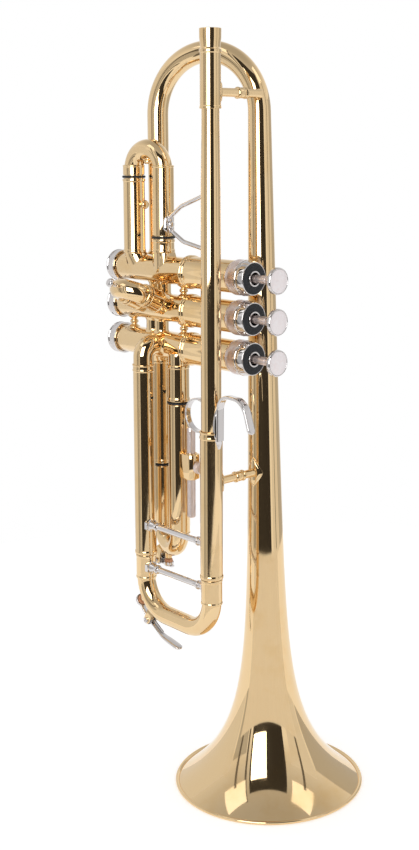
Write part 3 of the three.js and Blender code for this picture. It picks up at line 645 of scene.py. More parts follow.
def bell_skin():
    """The bell as one shell: out along the outside from the rolled rim to the first valve, and back inside.

    Ring i is a circle round the route, which runs up the bell's axis, over the bow and down to the valve.
    The rim is a roll of wire, round which the outside turns into the inside.
    """
    leg_top, leg_end, port = (
        to_frame(np.array(p, float)) for p in
        ((-76.5, -17.4, BELL_TOP), (-76.5, -17.4, 343), (-76.5, VALVE_Y + 4, VALVES[0][2] + 2))
    )
    half = math.hypot(leg_top[0], leg_top[1]) / 2
    crown = BELL_TOP + half
    corners = [[0, 0, BELL_TOP], [0, 0, crown], [leg_top[0], leg_top[1], crown], leg_end, port]
    bow, bow_way = route(corners, [half - 0.01, half - 0.01, 9], 4)
    tail = BELL_TOP * np.linspace(0, 1, 90)[:-1] ** 2.2
    tail = tail[tail > 1.6]
    stem = np.stack([0 * tail, 0 * tail, tail], -1)
    centre = np.concatenate([stem, bow])
    way = np.concatenate([np.repeat(Z[None], len(tail), 0), bow_way])
    narrowing = (bell_radius(BELL_TOP) - BELL_TUBE) * np.exp(-run_length(bow) / 23)
    radius = np.concatenate([bell_radius(tail), BELL_TUBE + narrowing])
    wall = np.interp(np.arange(len(centre)), [0, 12, len(tail)], [0.75, 0.6, 0.6])
    roll = np.linspace(math.radians(-190), math.radians(128), 22)
    rim_wire = 1.15
    rim_radius = BELL_RIM - rim_wire + rim_wire * np.cos(roll)
    rim_height = rim_wire + rim_wire * np.sin(roll)
    rim = np.stack([0 * roll, 0 * roll, rim_height], -1)
    centre = np.concatenate([rim, centre, centre[::-1]])
    radius = np.concatenate([rim_radius, radius, (radius - wall)[::-1]])
    way = np.concatenate([np.repeat(Z[None], len(roll), 0), way, way[::-1]])
    up = unit(np.array([leg_top[1], -leg_top[0], 0.0]))
    side = unit(np.cross(way, up))
    other = np.cross(side, way)
    circle = ring_of(turning().bell_sides)
    rings = centre[:, None] + radius[:, None, None] * (
        circle[None, :, :1] * side[:, None] + circle[None, :, 1:] * other[:, None])
    return grid(rings, wrap_rows=True)


def bell_stay(z, pipe_radius, pipe_mark):
    """A rod along Y from the leadpipe to the bell, with a collared middle, a pointed pad at the leadpipe and a
    slight flare at the bell.
    """
    start = LEAD[1] + pipe_radius - 0.5
    bell_edge = -math.sqrt(bell_radius(z) ** 2 - STAY_X**2) - 1.0
    collar = [[0, -4.2], [2.7, -4.2], [3.5, -3.4], [3.5, -2.6], [2.8, -2.0], [3.2, -0.8], [3.2, 0.8],
              [2.8, 2.0], [3.5, 2.6], [3.5, 3.4], [2.7, 4.2], [0, 4.2]]
    bar = [[0, start], [2.75, start], [2.55, start + 3], [2.55, bell_edge - 3], [2.9, bell_edge + 1.2],
           [0, bell_edge + 1.2]]
    here = np.array([STAY_X, 0, z])
    pad_facing = math.atan2(STAY_X, pipe_radius)
    return [
        spindle(bar, here, Y),
        spindle(collar, here + Y * ((start + bell_edge) / 2 + 3), Y, edge=0.5),
        saddle_plate([LEAD[0], LEAD[1], z], math.pi / 2 - pad_facing * 0.35, pipe_radius,
                     pipe_mark, 0.75, 1.0, 3),
    ]


def bell_pad(z):
    """The pad that a stay is soldered to the bell with; it lies on the bell in the bell's own frame."""
    facing = to_frame(np.array([STAY_X, 0, z]))[0] / bell_radius(z)
    return saddle_plate([0, 0, z], -math.pi / 2 + facing, bell_radius(z) + 0.05, 19, 0.62, 1.0, 1.3)


def make_bell():
    piece("bell", "trumpet_body", "lacquer", [bell_skin()], level=False)
    for name, pipe_radius, mark in (("upper", 6.1, 13), ("lower", 6.9, 14)):
        piece(f"bell_brace_{name}", "trumpet_body", "lacquer", bell_stay(STAYS[name], pipe_radius, mark))
    low_z = to_frame(np.array([STAY_X, 0, STAYS["lower"]]))[2]
    piece("bell_pad_lower", "trumpet_body", "lacquer", [bell_pad(low_z)], level=False)


def slide_sleeve(low, high, foot):
    """A fixed tube with a rolled band at its lower end and a ferrule with two beads at its upper one."""
    return lathe([
        [6.5, low], [7.15, low], [7.3, low + 0.5], [7.3, low + 1.9], [6.95, low + 2.5], [6.9, high - 4.6],
        [7.25, high - 4.2], [7.25, high - 3.4], [6.95, high - 3.0], [6.95, high - 1.0], [7.3, high - 0.7],
        [7.3, high], [6.5, high],
    ], foot, edge=0.25)


def make_leadpipe():
    low, high = heights("mouthpiece_receiver")
    bead = high - 12.3
    foot = [LEAD[0], LEAD[1], 0]
    receiver = [
        [5.35, low], [6.3, low], [6.35, low + 0.5], [6.35, low + 1.3], [6.1, low + 1.8], [6.05, bead - 1.4],
        [6.5, bead - 1.0], [6.5, bead + 0.7], [6.0, bead + 1.0], [5.7, bead + 1.8], [6.05, bead + 4.6],
        [6.35, bead + 7.0], [6.4, high], [4.95, high], [4.55, bead - 2.0], [5.35, bead - 2.0],
    ]
    piece("mouthpiece_receiver", "trumpet_body", "lacquer", [lathe(receiver, foot, edge=0.3)])
    top = heights("leadpipe")[1]
    taper = [[5.0, FERRULE_Z - 4], [6.15, FERRULE_Z - 4], [6.1, 300], [5.95, 345], [5.75, 385], [5.2, 425],
             [5.15, top], [4.45, top], [4.4, 430]]
    piece("leadpipe", "trumpet_body", "lacquer", [lathe(taper, foot)])
    piece("upper_slide_tube", "trumpet_body", "lacquer", [slide_sleeve(RING_Z, SLEEVE_TOP, foot)])


# ---------------------------------------------------------------- main slide
def slide_brace(z, tube_radius):
    """A rod along X between the slide's tubes, with a six-sided foot, a cone and a collar at each end."""
    y = -47.0
    ends = ((LEG_X + tube_radius - 0.6, X), (LEAD[0] - tube_radius + 0.6, -X))
    foot = [[0, -1.6], [4.6, -1.6], [4.6, 0.9], [3.3, 1.4], [0, 1.4]]
    cone = [[0, 1.0], [3.3, 1.0], [3.2, 2.0], [2.4, 4.4], [2.3, 5.8], [3.0, 6.0], [3.0, 7.4], [2.2, 7.6],
            [0, 7.6]]
    bar = [[0, ends[0][0]], [2.05, ends[0][0]], [2.05, ends[1][0]], [0, ends[1][0]]]
    surfaces = [spindle(bar, [0, y, z], X)]
    for x, way in ends:
        surfaces.append(spindle(foot, [x, y, z], way, edge=0.2, sides=6))
        surfaces.append(spindle(cone, [x, y, z], way, edge=0.25))
    return surfaces


def make_main_slide():
    sleeve = slide_sleeve(RING_Z, LEG_FERRULE_Z + 1.5, [LEG_X, LEG_Y, 0])
    elbow = pipe([[LEG_X, LEG_Y, LEG_FERRULE_Z - 4], [LEG_X, LEG_Y, VALVES[2][2] + 3],
                  [LEG_X + 3, VALVE_Y - 3, VALVES[2][2]]], 7.6, 6.6, X)
    piece("lower_slide_tube", "trumpet_body", "lacquer", on_casing([sleeve, elbow]))
    piece("slide_brace_fixed", "trumpet_body", "nickel", slide_brace(170.6, 6.9))
    piece("slide_brace_moving", "tuning_slide", "nickel", slide_brace(142.0, 6.8))
    top = heights("tuning_slide")[1]
    bow_low = BOW_Z - BOW_BEND
    surfaces = [pipe([[LEG_X, LEG_Y, top], [LEG_X, LEG_Y, bow_low], [LEAD[0], LEAD[1], bow_low],
                      [LEAD[0], LEAD[1], top]], BOW_BEND, LEG_RADIUS, Y, step=6)]
    for x, y in ((LEG_X, LEG_Y), (LEAD[0], LEAD[1])):
        band = [[5.9, BOW_Z - 1.6], [6.55, BOW_Z - 1.6], [6.8, BOW_Z - 1.2], [6.8, BOW_Z - 0.2],
                [6.55, BOW_Z + 0.2], [6.55, RING_Z - 2.2], [6.8, RING_Z - 1.9], [6.8, RING_Z - 0.4],
                [5.9, RING_Z - 0.4]]
        surfaces.append(lathe(band, [x, y, 0], edge=0.25))
    nipple = [[1.2, -1.6], [3.1, -1.6], [2.6, 0.3], [2.6, 1.4], [2.3, 2.0], [1.2, 2.0]]
    surfaces.append(lathe(nipple, bow_point(BOW_EDGE, DRAIN_ANGLE), drain_way(DRAIN_ANGLE)))
    piece("tuning_slide", "tuning_slide", "lacquer", surfaces)


def drain_way(angle):
    return np.array([-math.cos(angle), 0, -math.sin(angle)])


def bow_point(distance, angle):
    """The point that far from the centre of the bow's left bend, at an angle below the horizontal."""
    return np.array([LEG_X + BOW_BEND, LEG_Y - 0.3, BOW_Z]) + distance * drain_way(angle)


def make_hook():
    """The little finger's hook: a flat band on a pointed pad, arched over and down."""
    x, y = LEAD[0] + 6.5, LEAD[1]
    arch, tip = 266.5, 248.0
    corners = [[x + 0.9, y, 238], [x + 1.2, y, arch], [x + 26, y - 4, arch], [x + 33, y - 5, tip]]
    line = route(corners, [10, 12], 0.6)
    length = run_length(line[0])
    share = length / length[-1]
    half_round = np.sqrt(np.clip(1 - ((share - 0.96) / 0.04).clip(0, 1) ** 2, 0.03, 1))
    band = carried(line, oblong(1.9, 5.4, power=5), Y, half_round)
    pad = saddle_plate([LEAD[0], LEAD[1], 246.5], 0.0, 6.2, 31, 0.62, 1.7, 2.2)
    piece("little_finger_hook", "trumpet_body", "nickel", [band, pad])


# ---------------------------------------------------------------- valves
def outside_bores(points):
    """Points nearer than BORE_EDGE to a valve's axis are pushed out to it, into the casing's wall.

    Flat faces between such points still come nearer than that.
    """
    pushed = points.copy()
    for valve in VALVES:
        offset = pushed[:, 1:] - [VALVE_Y, valve[2]]
        far = np.linalg.norm(offset, axis=1, keepdims=True)
        pushed[:, 1:] += offset * (np.maximum(far, BORE_EDGE) / np.maximum(far, 1e-6) - 1)
    return pushed


def on_casing(surfaces):
    return [moved(surface, outside_bores) for surface in surfaces]


def post(x, upper, lower):
    z = (VALVES[upper - 1][2] + VALVES[lower - 1][2]) / 2
    half = [[0, -5.0], [4.0, -5.0], [4.0, -3.4], [2.9, -2.6], [1.9, -1.9], [1.8, -1.3], [2.7, -0.7]]
    profile = half + [[r, -h] for r, h in half[::-1]]
    return on_casing([spindle(profile, [x, VALVE_Y, z], edge=0.25, sides=40)])


def windway(xs, upper, lower):
    z = (VALVES[upper - 1][2] + VALVES[lower - 1][2]) / 2
    outline = [[0, -6.5], [5.0, -6.5], [4.6, -2.6], [4.6, 2.6], [5.0, 6.5], [0, 6.5]]
    return on_casing([spindle(outline, [x, VALVE_Y, z]) for x in xs])


def make_casings():
    step = -34.0  # where the casing's two beads meet
    for n, valve in enumerate(VALVES, 1):
        profile = [
            [8.2, CASING_LOW], [8.9, CASING_LOW], [8.9, step - 3.4], [9.35, step - 2.9], [9.5, step - 2.3],
            [10.35, step - 1.9], [10.6, step - 1.3], [10.35, step - 0.6], [9.9, step - 0.2],
            [10.35, step + 0.2], [10.6, step + 0.9], [10.35, step + 1.6], [9.8, step + 2.0],
            [9.8, CASING_HIGH], [8.2, CASING_HIGH],
        ]
        casing = turned(eased(profile), [0, VALVE_Y, valve[2]], X, sides=96)
        piece(f"valve_casing_{n}", "trumpet_body", "lacquer", [casing])
    piece("windway_1_2", "trumpet_body", "lacquer", windway((-68, -60.5), 1, 2))
    piece("windway_2_3", "trumpet_body", "lacquer", windway((-71, -63), 2, 3))
    for name, x, upper, lower in (("1_2", -41.5, 1, 2), ("2_3", -41.5, 2, 3), ("rear", -90.3, 2, 3)):
        piece(f"casing_post_{name}", "trumpet_body", "lacquer", post(x, upper, lower))


def knurl(depth, low, high, ridges=None):
    """Ridges round a turned surface: depth * |cos(ridges * angle / 2)|, faded out at both heights."""
    count = ridges or turning().ridges

    def ripple(angle, height):
        fade = np.clip((height - low) / 0.4, 0, 1) * np.clip((high - height) / 0.4, 0, 1)
        return -depth * fade * np.abs(np.cos(count * angle / 2))
    return ripple


def grooved(radius, low, high, rings=7):
    """Outline points up a straight side, close enough together for a knurl to fade in and out."""
    return [[radius, h] for h in np.linspace(low, high, rings)]


def make_caps():
    ridges = turning().ridges * 4
    for n, valve in enumerate(VALVES, 1):
        foot = [0, VALVE_Y, valve[2]]
        seat, face = 5.7, 20.6
        back = [[8.4, seat], [9.9, seat], [10.05, seat + 0.4], [10.2, seat + 1.6],
                *grooved(10.7, seat + 2.2, 13.2), [10.75, 13.5], [8.4, 13.5]]
        bevel = [[8.4, 13.4], [10.8, 13.4], [10.8, 14.6], [10.45, 15.0], [10.45, 15.5], [10.7, 15.9],
                 [10.6, 17.0], [9.9, face - 0.25], [9.7, face], [9.35, face], [9.25, face - 0.2],
                 [9.25, face - 1.2], [8.4, face - 1.2]]
        collar = [[3.6, face - 3], [4.75, face - 3], [4.75, face + 0.75], [4.5, face + 1.0], [3.95, face + 1.0],
                  [3.7, face + 0.7]]
        surfaces = [
            (turned(back, foot, X, ridges, True, knurl(0.1, seat + 2.2, 13.2)), "satin"),
            lathe(bevel, foot, X, 0.2, sides=112),
            lathe(collar, foot, X, 0.15),
            tube(9.2, 4.2, face - 2.6, face - 1.2, foot, X),
        ]
        piece(f"top_cap_{n}", "trumpet_body", "nickel", surfaces, sharp=50)
        pad = [[4.85, face - 1.1], [9.2, face - 1.1], [9.2, face + 0.05], [8.9, face + 0.3], [5.2, face + 0.3],
               [4.85, face + 0.1]]
        piece(f"cap_felt_{n}", "trumpet_body", "felt", [lathe(pad, foot, X, 0.25)])
        low, lip = -107.3, -99.2
        under = [[1.6, low + 0.9], [2.2, low + 0.25], [5.6, low + 0.25], [6.0, low], [8.4, low],
                 [9.6, low + 0.5], [10.15, low + 1.5], [10.2, low + 2.0], [9.75, low + 2.4],
                 *grooved(9.85, low + 2.8, lip - 1.4), [10.25, lip - 1.1], [10.25, lip - 0.2], [9.95, lip],
                 [9.0, lip], [9.0, CASING_LOW - 0.2], [1.6, CASING_LOW - 0.2]]
        surface = turned(eased(under, 0.12, steps=3), foot, X, ridges, True, knurl(0.14, low + 2.8, lip - 1.4))
        piece(f"bottom_cap_{n}", "trumpet_body", "nickel", [surface], sharp=50)


def make_pistons():
    for n, valve in enumerate(VALVES, 1):
        foot = [0, VALVE_Y, valve[2]]
        low, top = -84.0, -4.0
        barrel = [[6.9, low], [7.9, low], [7.9, top], [3.6, top], [2.45, top + 1.4], [2.45, 31.0], [2.3, 31.3],
                  [2.3, 31.9], [2.45, 32.2], [2.45, 36.2], [0.8, 36.2], [0.8, top - 1.2], [6.9, top - 1.2]]
        piece(f"piston_{n}", f"valve_{n}", "nickel", [(lathe(barrel, foot, X, 0.25), "satin")])
        turns = np.linspace(0, 6, 260)
        coil = np.stack([-34 + 28 * turns / 6, 5.6 * np.cos(TAU * turns), 5.6 * np.sin(TAU * turns)], -1) + foot
        piece(f"valve_spring_{n}", f"valve_{n}", "steel", [coiled(coil, X, 0.45, 10)])
        neck, rim, face = 36.5, 38.2, 41.0
        button = [[0, neck], [3.0, neck], [3.3, neck + 0.5], [4.2, neck + 1.0], [6.6, rim - 0.5],
                  [7.8, rim + 0.1], [8.1, rim + 0.8], [8.1, face - 1.2], [7.9, face - 0.5],
                  [7.6, face - 0.05], [7.25, face], [7.1, face - 0.3], [7.1, face - 1.1], [0, face - 1.1]]
        piece(f"finger_button_{n}", f"valve_{n}", "nickel", [spindle(button, foot, X, 0.3)])
        share = np.linspace(1, 0, 14)
        crown = [[7.05 * s, face - 0.15 + 0.6 * (1 - s**2)] for s in share]
        disc = turned([[0, face - 0.9], [7.05, face - 0.9], *crown], foot, X, closed=False)
        piece(f"button_pearl_{n}", f"valve_{n}", "pearl", [disc])


# ---------------------------------------------------------------- valve slides
def fixed_tube(low, high, foot, axis=Z):
    return lathe([
        [6.4, low], [7.15, low], [7.3, low + 0.4], [7.3, low + 1.8], [6.95, low + 2.4], [6.9, high - 2.0],
        [7.25, high - 1.7], [7.3, high - 0.3], [7.1, high], [6.4, high],
    ], foot, axis, edge=0.25)


def slide_band(low, high, foot, axis=Z):
    """The thicker part of a slide's leg, with a fine bead where the bow starts at its far end."""
    return lathe([[5.9, low], [6.7, low], [6.9, low + 0.3], [6.9, high - 1.6], [6.75, high - 1.4],
                  [7.05, high - 1.0], [7.05, high - 0.4], [6.6, high], [5.9, high]], foot, axis, edge=0.2)


def crook(a, b, bend_z, a_end, b_end):
    """Two legs joined by a half turn, in the plane of both legs."""
    half = math.hypot(*(np.asarray(a) - b)) / 2
    far = bend_z + math.copysign(half, bend_z - a_end)
    along = np.append(unit(np.asarray(b) - a), 0.0)
    corners = [[*a, a_end], [*a, far], [*b, far], [*b, b_end]]
    return pipe(corners, half - 0.01, LEG_RADIUS, np.cross(along, Z), step=6)


def cushion_ring(x, y, z):
    """A rubber ring round a leg."""
    a = np.linspace(0, TAU, 14, endpoint=False)
    return turned(np.stack([6.75 + 0.75 * np.cos(a), 0.75 * np.sin(a)], -1), [x, y, z])


def make_first_slide():
    low, high = 344.0, 391.2
    elbow = pipe([[*FIRST_A, low + 3], [*FIRST_A, VALVES[0][2] + 9],
                  [FIRST_A[0] + 2, FIRST_A[1] + 2, VALVES[0][2] + 2.5]], 3, 6.5, unit(X - Y))
    nub = spindle([[0, 0], [1.5, 0], [1.5, 2.2], [2.6, 2.8], [2.9, 4.2], [2.2, 5.4], [0, 5.8]],
                  [FIRST_A[0] + 6.6, FIRST_A[1], 375], X, edge=0.3, sides=32)
    piece("first_slide_tube_lower", "trumpet_body", "lacquer",
          on_casing([fixed_tube(low, high, [*FIRST_A, 0]), elbow, nub]))
    low_b, high_b = heights("first_slide_tube_upper")
    stub = spindle([[0, low_b - 1], [6.5, low_b - 1], [6.5, 349], [0, 349]], [*FIRST_B, 0])
    piece("first_slide_tube_upper", "trumpet_body", "lacquer",
          on_casing([fixed_tube(345.5, high_b, [*FIRST_B, 0]), stub]))
    ferrule = 399.8
    legs = crook(FIRST_A, FIRST_B, ferrule - 3.4, low + 8, 349.5)
    post_x, post_y = (FIRST_A + FIRST_B) / 2
    knob_z = ferrule - 3.4 + math.hypot(*(FIRST_A - FIRST_B)) / 2 - LEG_RADIUS
    knob = spindle([[0, 1.2], [1.9, 1.2], [1.9, -0.4], [2.8, -1.0], [2.8, -2.2], [1.8, -3.2], [0, -3.4]],
                   [post_x, post_y, knob_z], Z, edge=0.3, sides=32)
    bands = [slide_band(end + 2.2, ferrule, [*leg, 0]) for leg, end in ((FIRST_A, high), (FIRST_B, high_b))]
    surfaces = [legs, *bands, knob]
    piece("first_slide", "first_slide", "lacquer", surfaces)
    rings = [cushion_ring(*FIRST_A, high + 1.1), cushion_ring(*FIRST_B, high_b + 1.1)]
    piece("first_slide_rings", "first_slide", "felt", [(ring, "rubber") for ring in rings])


def make_thumb_saddle():
    """A wire that starts and ends free in front, and is bent round a pad on the first slide."""
    corners = [[-12, -33, 384], [-38, -33, 375], [-57, -31, 363.5], [-36, -33, 353.5], [-12, -33, 349]]
    bow = wire(corners, [14, 4.5, 14], 1.35, Y)
    pad = saddle_plate([*FIRST_B, 363.5], -0.15, 6.9, 11.5, 0.6, 1.2, 4)
    clamp = spindle([[0, 0], [2.2, 0], [2.2, 3.0], [1.4, 3.8], [0, 3.8]],
                    [FIRST_B[0] + 6.4, FIRST_B[1] - 1.2, 363.5], X, sides=32)
    piece("thumb_saddle", "first_slide", "nickel", [bow, pad, clamp])


def second_frame(points):
    """Turns what was built along +Z to point to the player's right, rising by SECOND_RISE."""
    turn = math.pi / 2 - SECOND_RISE
    c, s = math.cos(turn), math.sin(turn)
    spin = np.array([[1, 0, 0], [0, c, -s], [0, s, c]])
    return points @ spin.T + np.array([0, VALVE_Y, VALVES[1][2]])


def make_second_slide():
    near_x, far_x = -53.8, -72.4
    sleeve_end, bend = 22.7, 25.2
    for name, x in (("upper", near_x), ("lower", far_x)):
        port = spindle([[0, 6], [6.6, 6], [6.6, 12], [0, 12]], [x, 0, 0])
        surfaces = [moved(s, second_frame) for s in (fixed_tube(11, sleeve_end, [x, 0, 0]), port)]
        piece(f"second_slide_tube_{name}", "trumpet_body", "lacquer", on_casing(surfaces))
    near, far = np.array([near_x, 0.0]), np.array([far_x, 0.0])
    top = bend + (near_x - far_x) / 2 + LEG_RADIUS
    knob = [[0, -1.2], [1.5, -1.2], [1.2, 1.0], [1.1, 2.8], [2.2, 3.2], [2.8, 4.0], [2.9, 5.0], [2.4, 6.2],
            [0, 7]]
    surfaces = [crook(near, far, bend, 13, 13), slide_band(sleeve_end + 0.3, bend + 0.8, [near_x, 0, 0]),
                slide_band(sleeve_end + 0.3, bend + 0.8, [far_x, 0, 0])]
    surfaces = [moved(s, second_frame) for s in surfaces]
    pull = moved(spindle(knob, [(near_x + far_x) / 2, 0, top], edge=0.3, sides=40), second_frame)
    piece("second_slide", "second_slide", "lacquer", [*surfaces, (pull, "nickel")])


def make_third_slide():
    port, bend = 275.6, 164.9
    inside = VALVES[2][2] - 3
    ends = {"lower": (THIRD_A, 206.8), "upper": (THIRD_B, 252.4)}
    for name, (leg, end) in ends.items():
        stub = spindle([[0, port - 3], [6.5, port - 3], [6.5, inside], [0, inside]], [*leg, 0])
        piece(f"third_slide_tube_{name}", "trumpet_body", "lacquer",
              on_casing([fixed_tube(end, port, [*leg, 0]), stub]))
    surfaces = [crook(THIRD_A, THIRD_B, bend, 256.8, 270.4)]
    for leg, end in ends.values():
        surfaces.append(lathe([
            [5.9, bend - 0.4], [6.6, bend - 0.4], [7.05, bend], [7.05, bend + 0.6], [6.75, bend + 1.0],
            [6.9, bend + 1.3], [6.9, end - 2.5], [6.7, end - 2.2], [5.9, end - 2.2],
        ], [*leg, 0], edge=0.2))
    surfaces.append(lathe([[1.2, 4], [2.3, 4], [2.4, 4.6], [2.5, 7.6], [3.0, 10], [1.2, 10]], THIRD_DRAIN))
    piece("third_slide", "third_slide", "lacquer", surfaces)
    rings = [(cushion_ring(*leg, end - 1.1), "rubber") for leg, end in ends.values()]
    piece("third_slide_rings", "third_slide", "felt", rings)


def make_finger_ring():
    """The third finger's ring: a flat band on a rod, which a thumb screw holds in a faceted block."""
    centre = np.array([-22.4, -33.4, 246.3])
    rod_x, block_z = -29.9, 212.2
    band = [[9.9, -2.1], [11.0, -2.1], [11.1, -1.7], [11.1, 1.7], [11.0, 2.1], [9.9, 2.1], [9.8, 1.7],
            [9.8, -1.7]]
    teeth = [[2.88 - 0.16 * (i % 2), 179.6 + 0.45 * i] for i in range(124)]
    rod = [[0, 178.6], [2.3, 178.6], [2.8, 179.2], *teeth, [2.8, 236.2], [2.2, 237.5], [0, 237.5]]
    foot = [rod_x, centre[1], 0]
    surfaces = [lathe(band, centre, Y, 0.25, sides=96), (turned(rod, foot, sides=48, closed=False), "satin")]
    piece("finger_ring", "finger_ring", "nickel", surfaces)
    low, high = reach("ring_holder")
    mid = (low + high) / 2
    wide, deep, tall = high - low
    outline = eased([[-wide / 2, -deep / 2], [wide / 2 - 2, -deep / 2], [wide / 2, -deep / 2 + 2],
                   [wide / 2, deep / 2 - 2], [wide / 2 - 2, deep / 2], [-wide / 2, deep / 2]], 0.3, steps=3)
    body = plate(outline[:, ::-1], [mid[0], mid[1], low[2]], Z, X, tall, 0.5)
    lip = tube(3.9, 3.05, low[2] - 0.6, high[2] + 0.6, foot)
    piece("ring_holder", "third_slide", "lacquer", [body, lip])
    head = [[0, 3.4], [1.4, 3.4], [1.4, 5.3], [2.6, 5.4], [3.5, 5.7], *grooved(3.9, 6.1, 8.7, 6), [3.5, 9.1],
            [2.6, 9.2], [2.2, 8.95], [0, 8.95]]
    here = [rod_x, centre[1], block_z]
    grip = turned(head, here, X, 4 * 24, False, knurl(0.22, 6.0, 8.8, 24))
    piece("ring_thumb_screw", "ring_thumb_screw", "nickel", [(grip, "satin")], sharp=50)


# ---------------------------------------------------------------- water keys
def ear_pair(pin, foot, half_width, ear=1.1):
    """Two ears that stand on the bow and hold the key's pin."""
    pin, foot = np.asarray(pin, float), np.asarray(foot, float)
    tall = np.linalg.norm(pin - foot)
    way = unit(pin - foot)
    angle = np.linspace(0, math.pi, 18)
    head = np.stack([2.6 * np.cos(angle), tall + 2.6 * np.sin(angle) * 0.9], -1)
    outline = np.concatenate([[[-2.9, -0.5], [2.9, -0.5]], head])
    centred = outline - [0, tall / 2]
    middle_point = (pin + foot) / 2
    turn = np.stack([np.cross(Y, way), way, Y])
    flat = plate(centred, [0, 0, 0], Z, Y, ear)
    offsets = [sign * (half_width + ear / 2) - ear / 2 for sign in (-1, 1)]
    return [moved(flat, lambda p, y=offset: p @ turn + middle_point + y * Y) for offset in offsets]


def screw_head(foot, way, radius=1.9):
    """A slotted screw's head: the dome falls by 0.45 within 0.35 of the slot's middle line."""
    share = np.linspace(1, 0, 16)
    crown = [[radius * s, 0.9 + 0.35 * (1 - s**2)] for s in share]
    dome = turned([[0, 0], [radius, 0], *crown], foot, way, 36, False)
    slot_way, _ = across(way)

    def cut(points):
        height = (points - foot) @ way
        aside = np.abs((points - foot) @ slot_way)
        drop = np.where((aside < 0.35) & (height > 0.8), 0.45, 0.0)
        return points - drop[:, None] * way
    return moved(dome, cut)


def spring_loop(pin, half_width, heading):
    """A fine wire wound round the pin on both sides of the barrel, with a free end along the lever."""
    turns = np.linspace(0, 3, 120)
    surfaces = []
    for sign in (-1, 1):
        y = sign * (half_width - 0.2 - 0.45 * turns)
        coil = np.stack([3.0 * np.cos(TAU * turns), y, 3.0 * np.sin(TAU * turns)], -1) + pin
        tail = coil[-1] + np.linspace(0, 1, 20)[1:, None] * np.asarray(heading)
        surfaces.append(coiled(np.concatenate([coil, tail]), Y + 0.01 * X, 0.28, 8))
    return surfaces


def lever(corners, bends, width, thick):
    """A flat lever whose free end widens into a shallow spoon from 0.55 of its length on."""
    line = route(corners, bends, 0.5)
    length = run_length(line[0])
    share = length / length[-1]
    swell = 1 + 0.5 * np.sin(np.clip((share - 0.55) / 0.45, 0, 1) * math.pi * 0.75)
    tip = np.sqrt(np.clip(1 - np.clip((share - 0.93) / 0.07, 0, 1) ** 2, 0.02, 1))
    return carried(line, oblong(thick, width, 28, 3.5), Y, swell * tip)


def key_cup(foot, way, radius):
    """A shallow cup with a flared lip, open towards the nipple."""
    profile = [[0, -1.9], [radius * 0.5, -1.8], [radius - 0.5, -1.2], [radius, -0.2], [radius, 1.5],
               [radius - 0.45, 1.6], [radius - 0.6, 0.1], [0, 0.0]]
    return spindle(profile, foot, way, edge=0.35)


def make_water_keys():
    pin = bow_point(BOW_EDGE + 6.5, PIN_ANGLE)
    root = bow_point(BOW_EDGE - 0.8, PIN_ANGLE)
    seat = plate(oblong(6.4, 7.4, 32), bow_point(BOW_EDGE - 1.1, PIN_ANGLE), drain_way(PIN_ANGLE), Y, 1.7)
    across_pin = spindle([[0, -4.6], [0.8, -4.6], [0.8, 4.8], [0, 4.8]], pin, Y, sides=20)
    piece("water_key_saddle", "tuning_slide", "lacquer",
          [*ear_pair(pin, root, 2.6), seat, (across_pin, "nickel"),
           (screw_head(pin - 3.7 * Y, -Y), "nickel")])
    cup_at = bow_point(BOW_EDGE + 5.2, DRAIN_ANGLE)
    up = -drain_way(DRAIN_ANGLE)
    arm = lever([bow_point(BOW_EDGE + 6.4, DRAIN_ANGLE), pin + [-2.5, 0, 1.5], pin + [12, 0, -8],
                 pin + [30, 0, -12]], [9, 18], 4.0, 1.5)
    barrel = spindle([[0, -2.3], [2.5, -2.3], [2.5, 2.3], [0, 2.3]], pin, Y, sides=40)
    spring = [(loop, "steel") for loop in spring_loop(pin, 2.6, (9, 0, -6))]
    piece("water_key", "water_key", "nickel", [arm, barrel, key_cup(cup_at, up, 4.2), *spring])
    pad = [[0, 0.3], [3.2, 0.3], [3.3, 0.8], [3.3, 2.2], [3.0, 2.6], [0, 2.6]]
    piece("water_key_cork", "water_key", "cork", [spindle(pad, cup_at, up)])

    pin = np.array([-66.8, THIRD_DRAIN[1], 140.3])
    root = pin + [1.8, 0, 8.5]
    seat = plate(oblong(6.0, 7.2, 32), pin + [2.4, 0.4, 9.2], unit(np.array([-0.3, 0, -1.0])), Y, 2.0)
    piece("third_water_key_saddle", "third_slide", "lacquer",
          [*ear_pair(pin, root, 2.3, 1.0), seat, (screw_head(pin - 3.3 * Y, -Y, 1.6), "nickel")])
    arm = lever([THIRD_DRAIN + [4, 0, -1.1], pin + [0, 0, -1.7], pin + [-8, 0, 5.7]], [8], 3.4, 1.3)
    barrel = spindle([[0, -2.0], [2.1, -2.0], [2.1, 2.0], [0, 2.0]], pin, Y, sides=36)
    spring = [(loop, "steel") for loop in spring_loop(pin, 2.3, (6, 0, -2))]
    piece("third_water_key", "third_water_key", "nickel", [arm, barrel, key_cup(THIRD_DRAIN, Z, 3.5), *spring])
    pad = [[0, 0.3], [2.6, 0.3], [2.7, 0.7], [2.7, 3.0], [2.4, 3.4], [0, 3.4]]
    piece("third_water_key_cork", "third_water_key", "cork", [spindle(pad, THIRD_DRAIN)])


# ---------------------------------------------------------------- studio
def studio_axes(studio):
    """The camera's ground directions: from the trumpet to the camera, and to the camera's right."""
    a = studio.bearing
    return np.array([math.sin(a), -math.cos(a), 0.0]), np.array([math.cos(a), math.sin(a), 0.0])


def stage_material(name, colour, strength=0.0):
    made, _, shader = blank(name, Roughness=0.9)
    shader.inputs["Base Color"].default_value = (*colour, 1)
    if strength:
        shader.inputs["Emission Color"].default_value = (*colour, 1)
        shader.inputs["Emission Strength"].default_value = strength
    return made


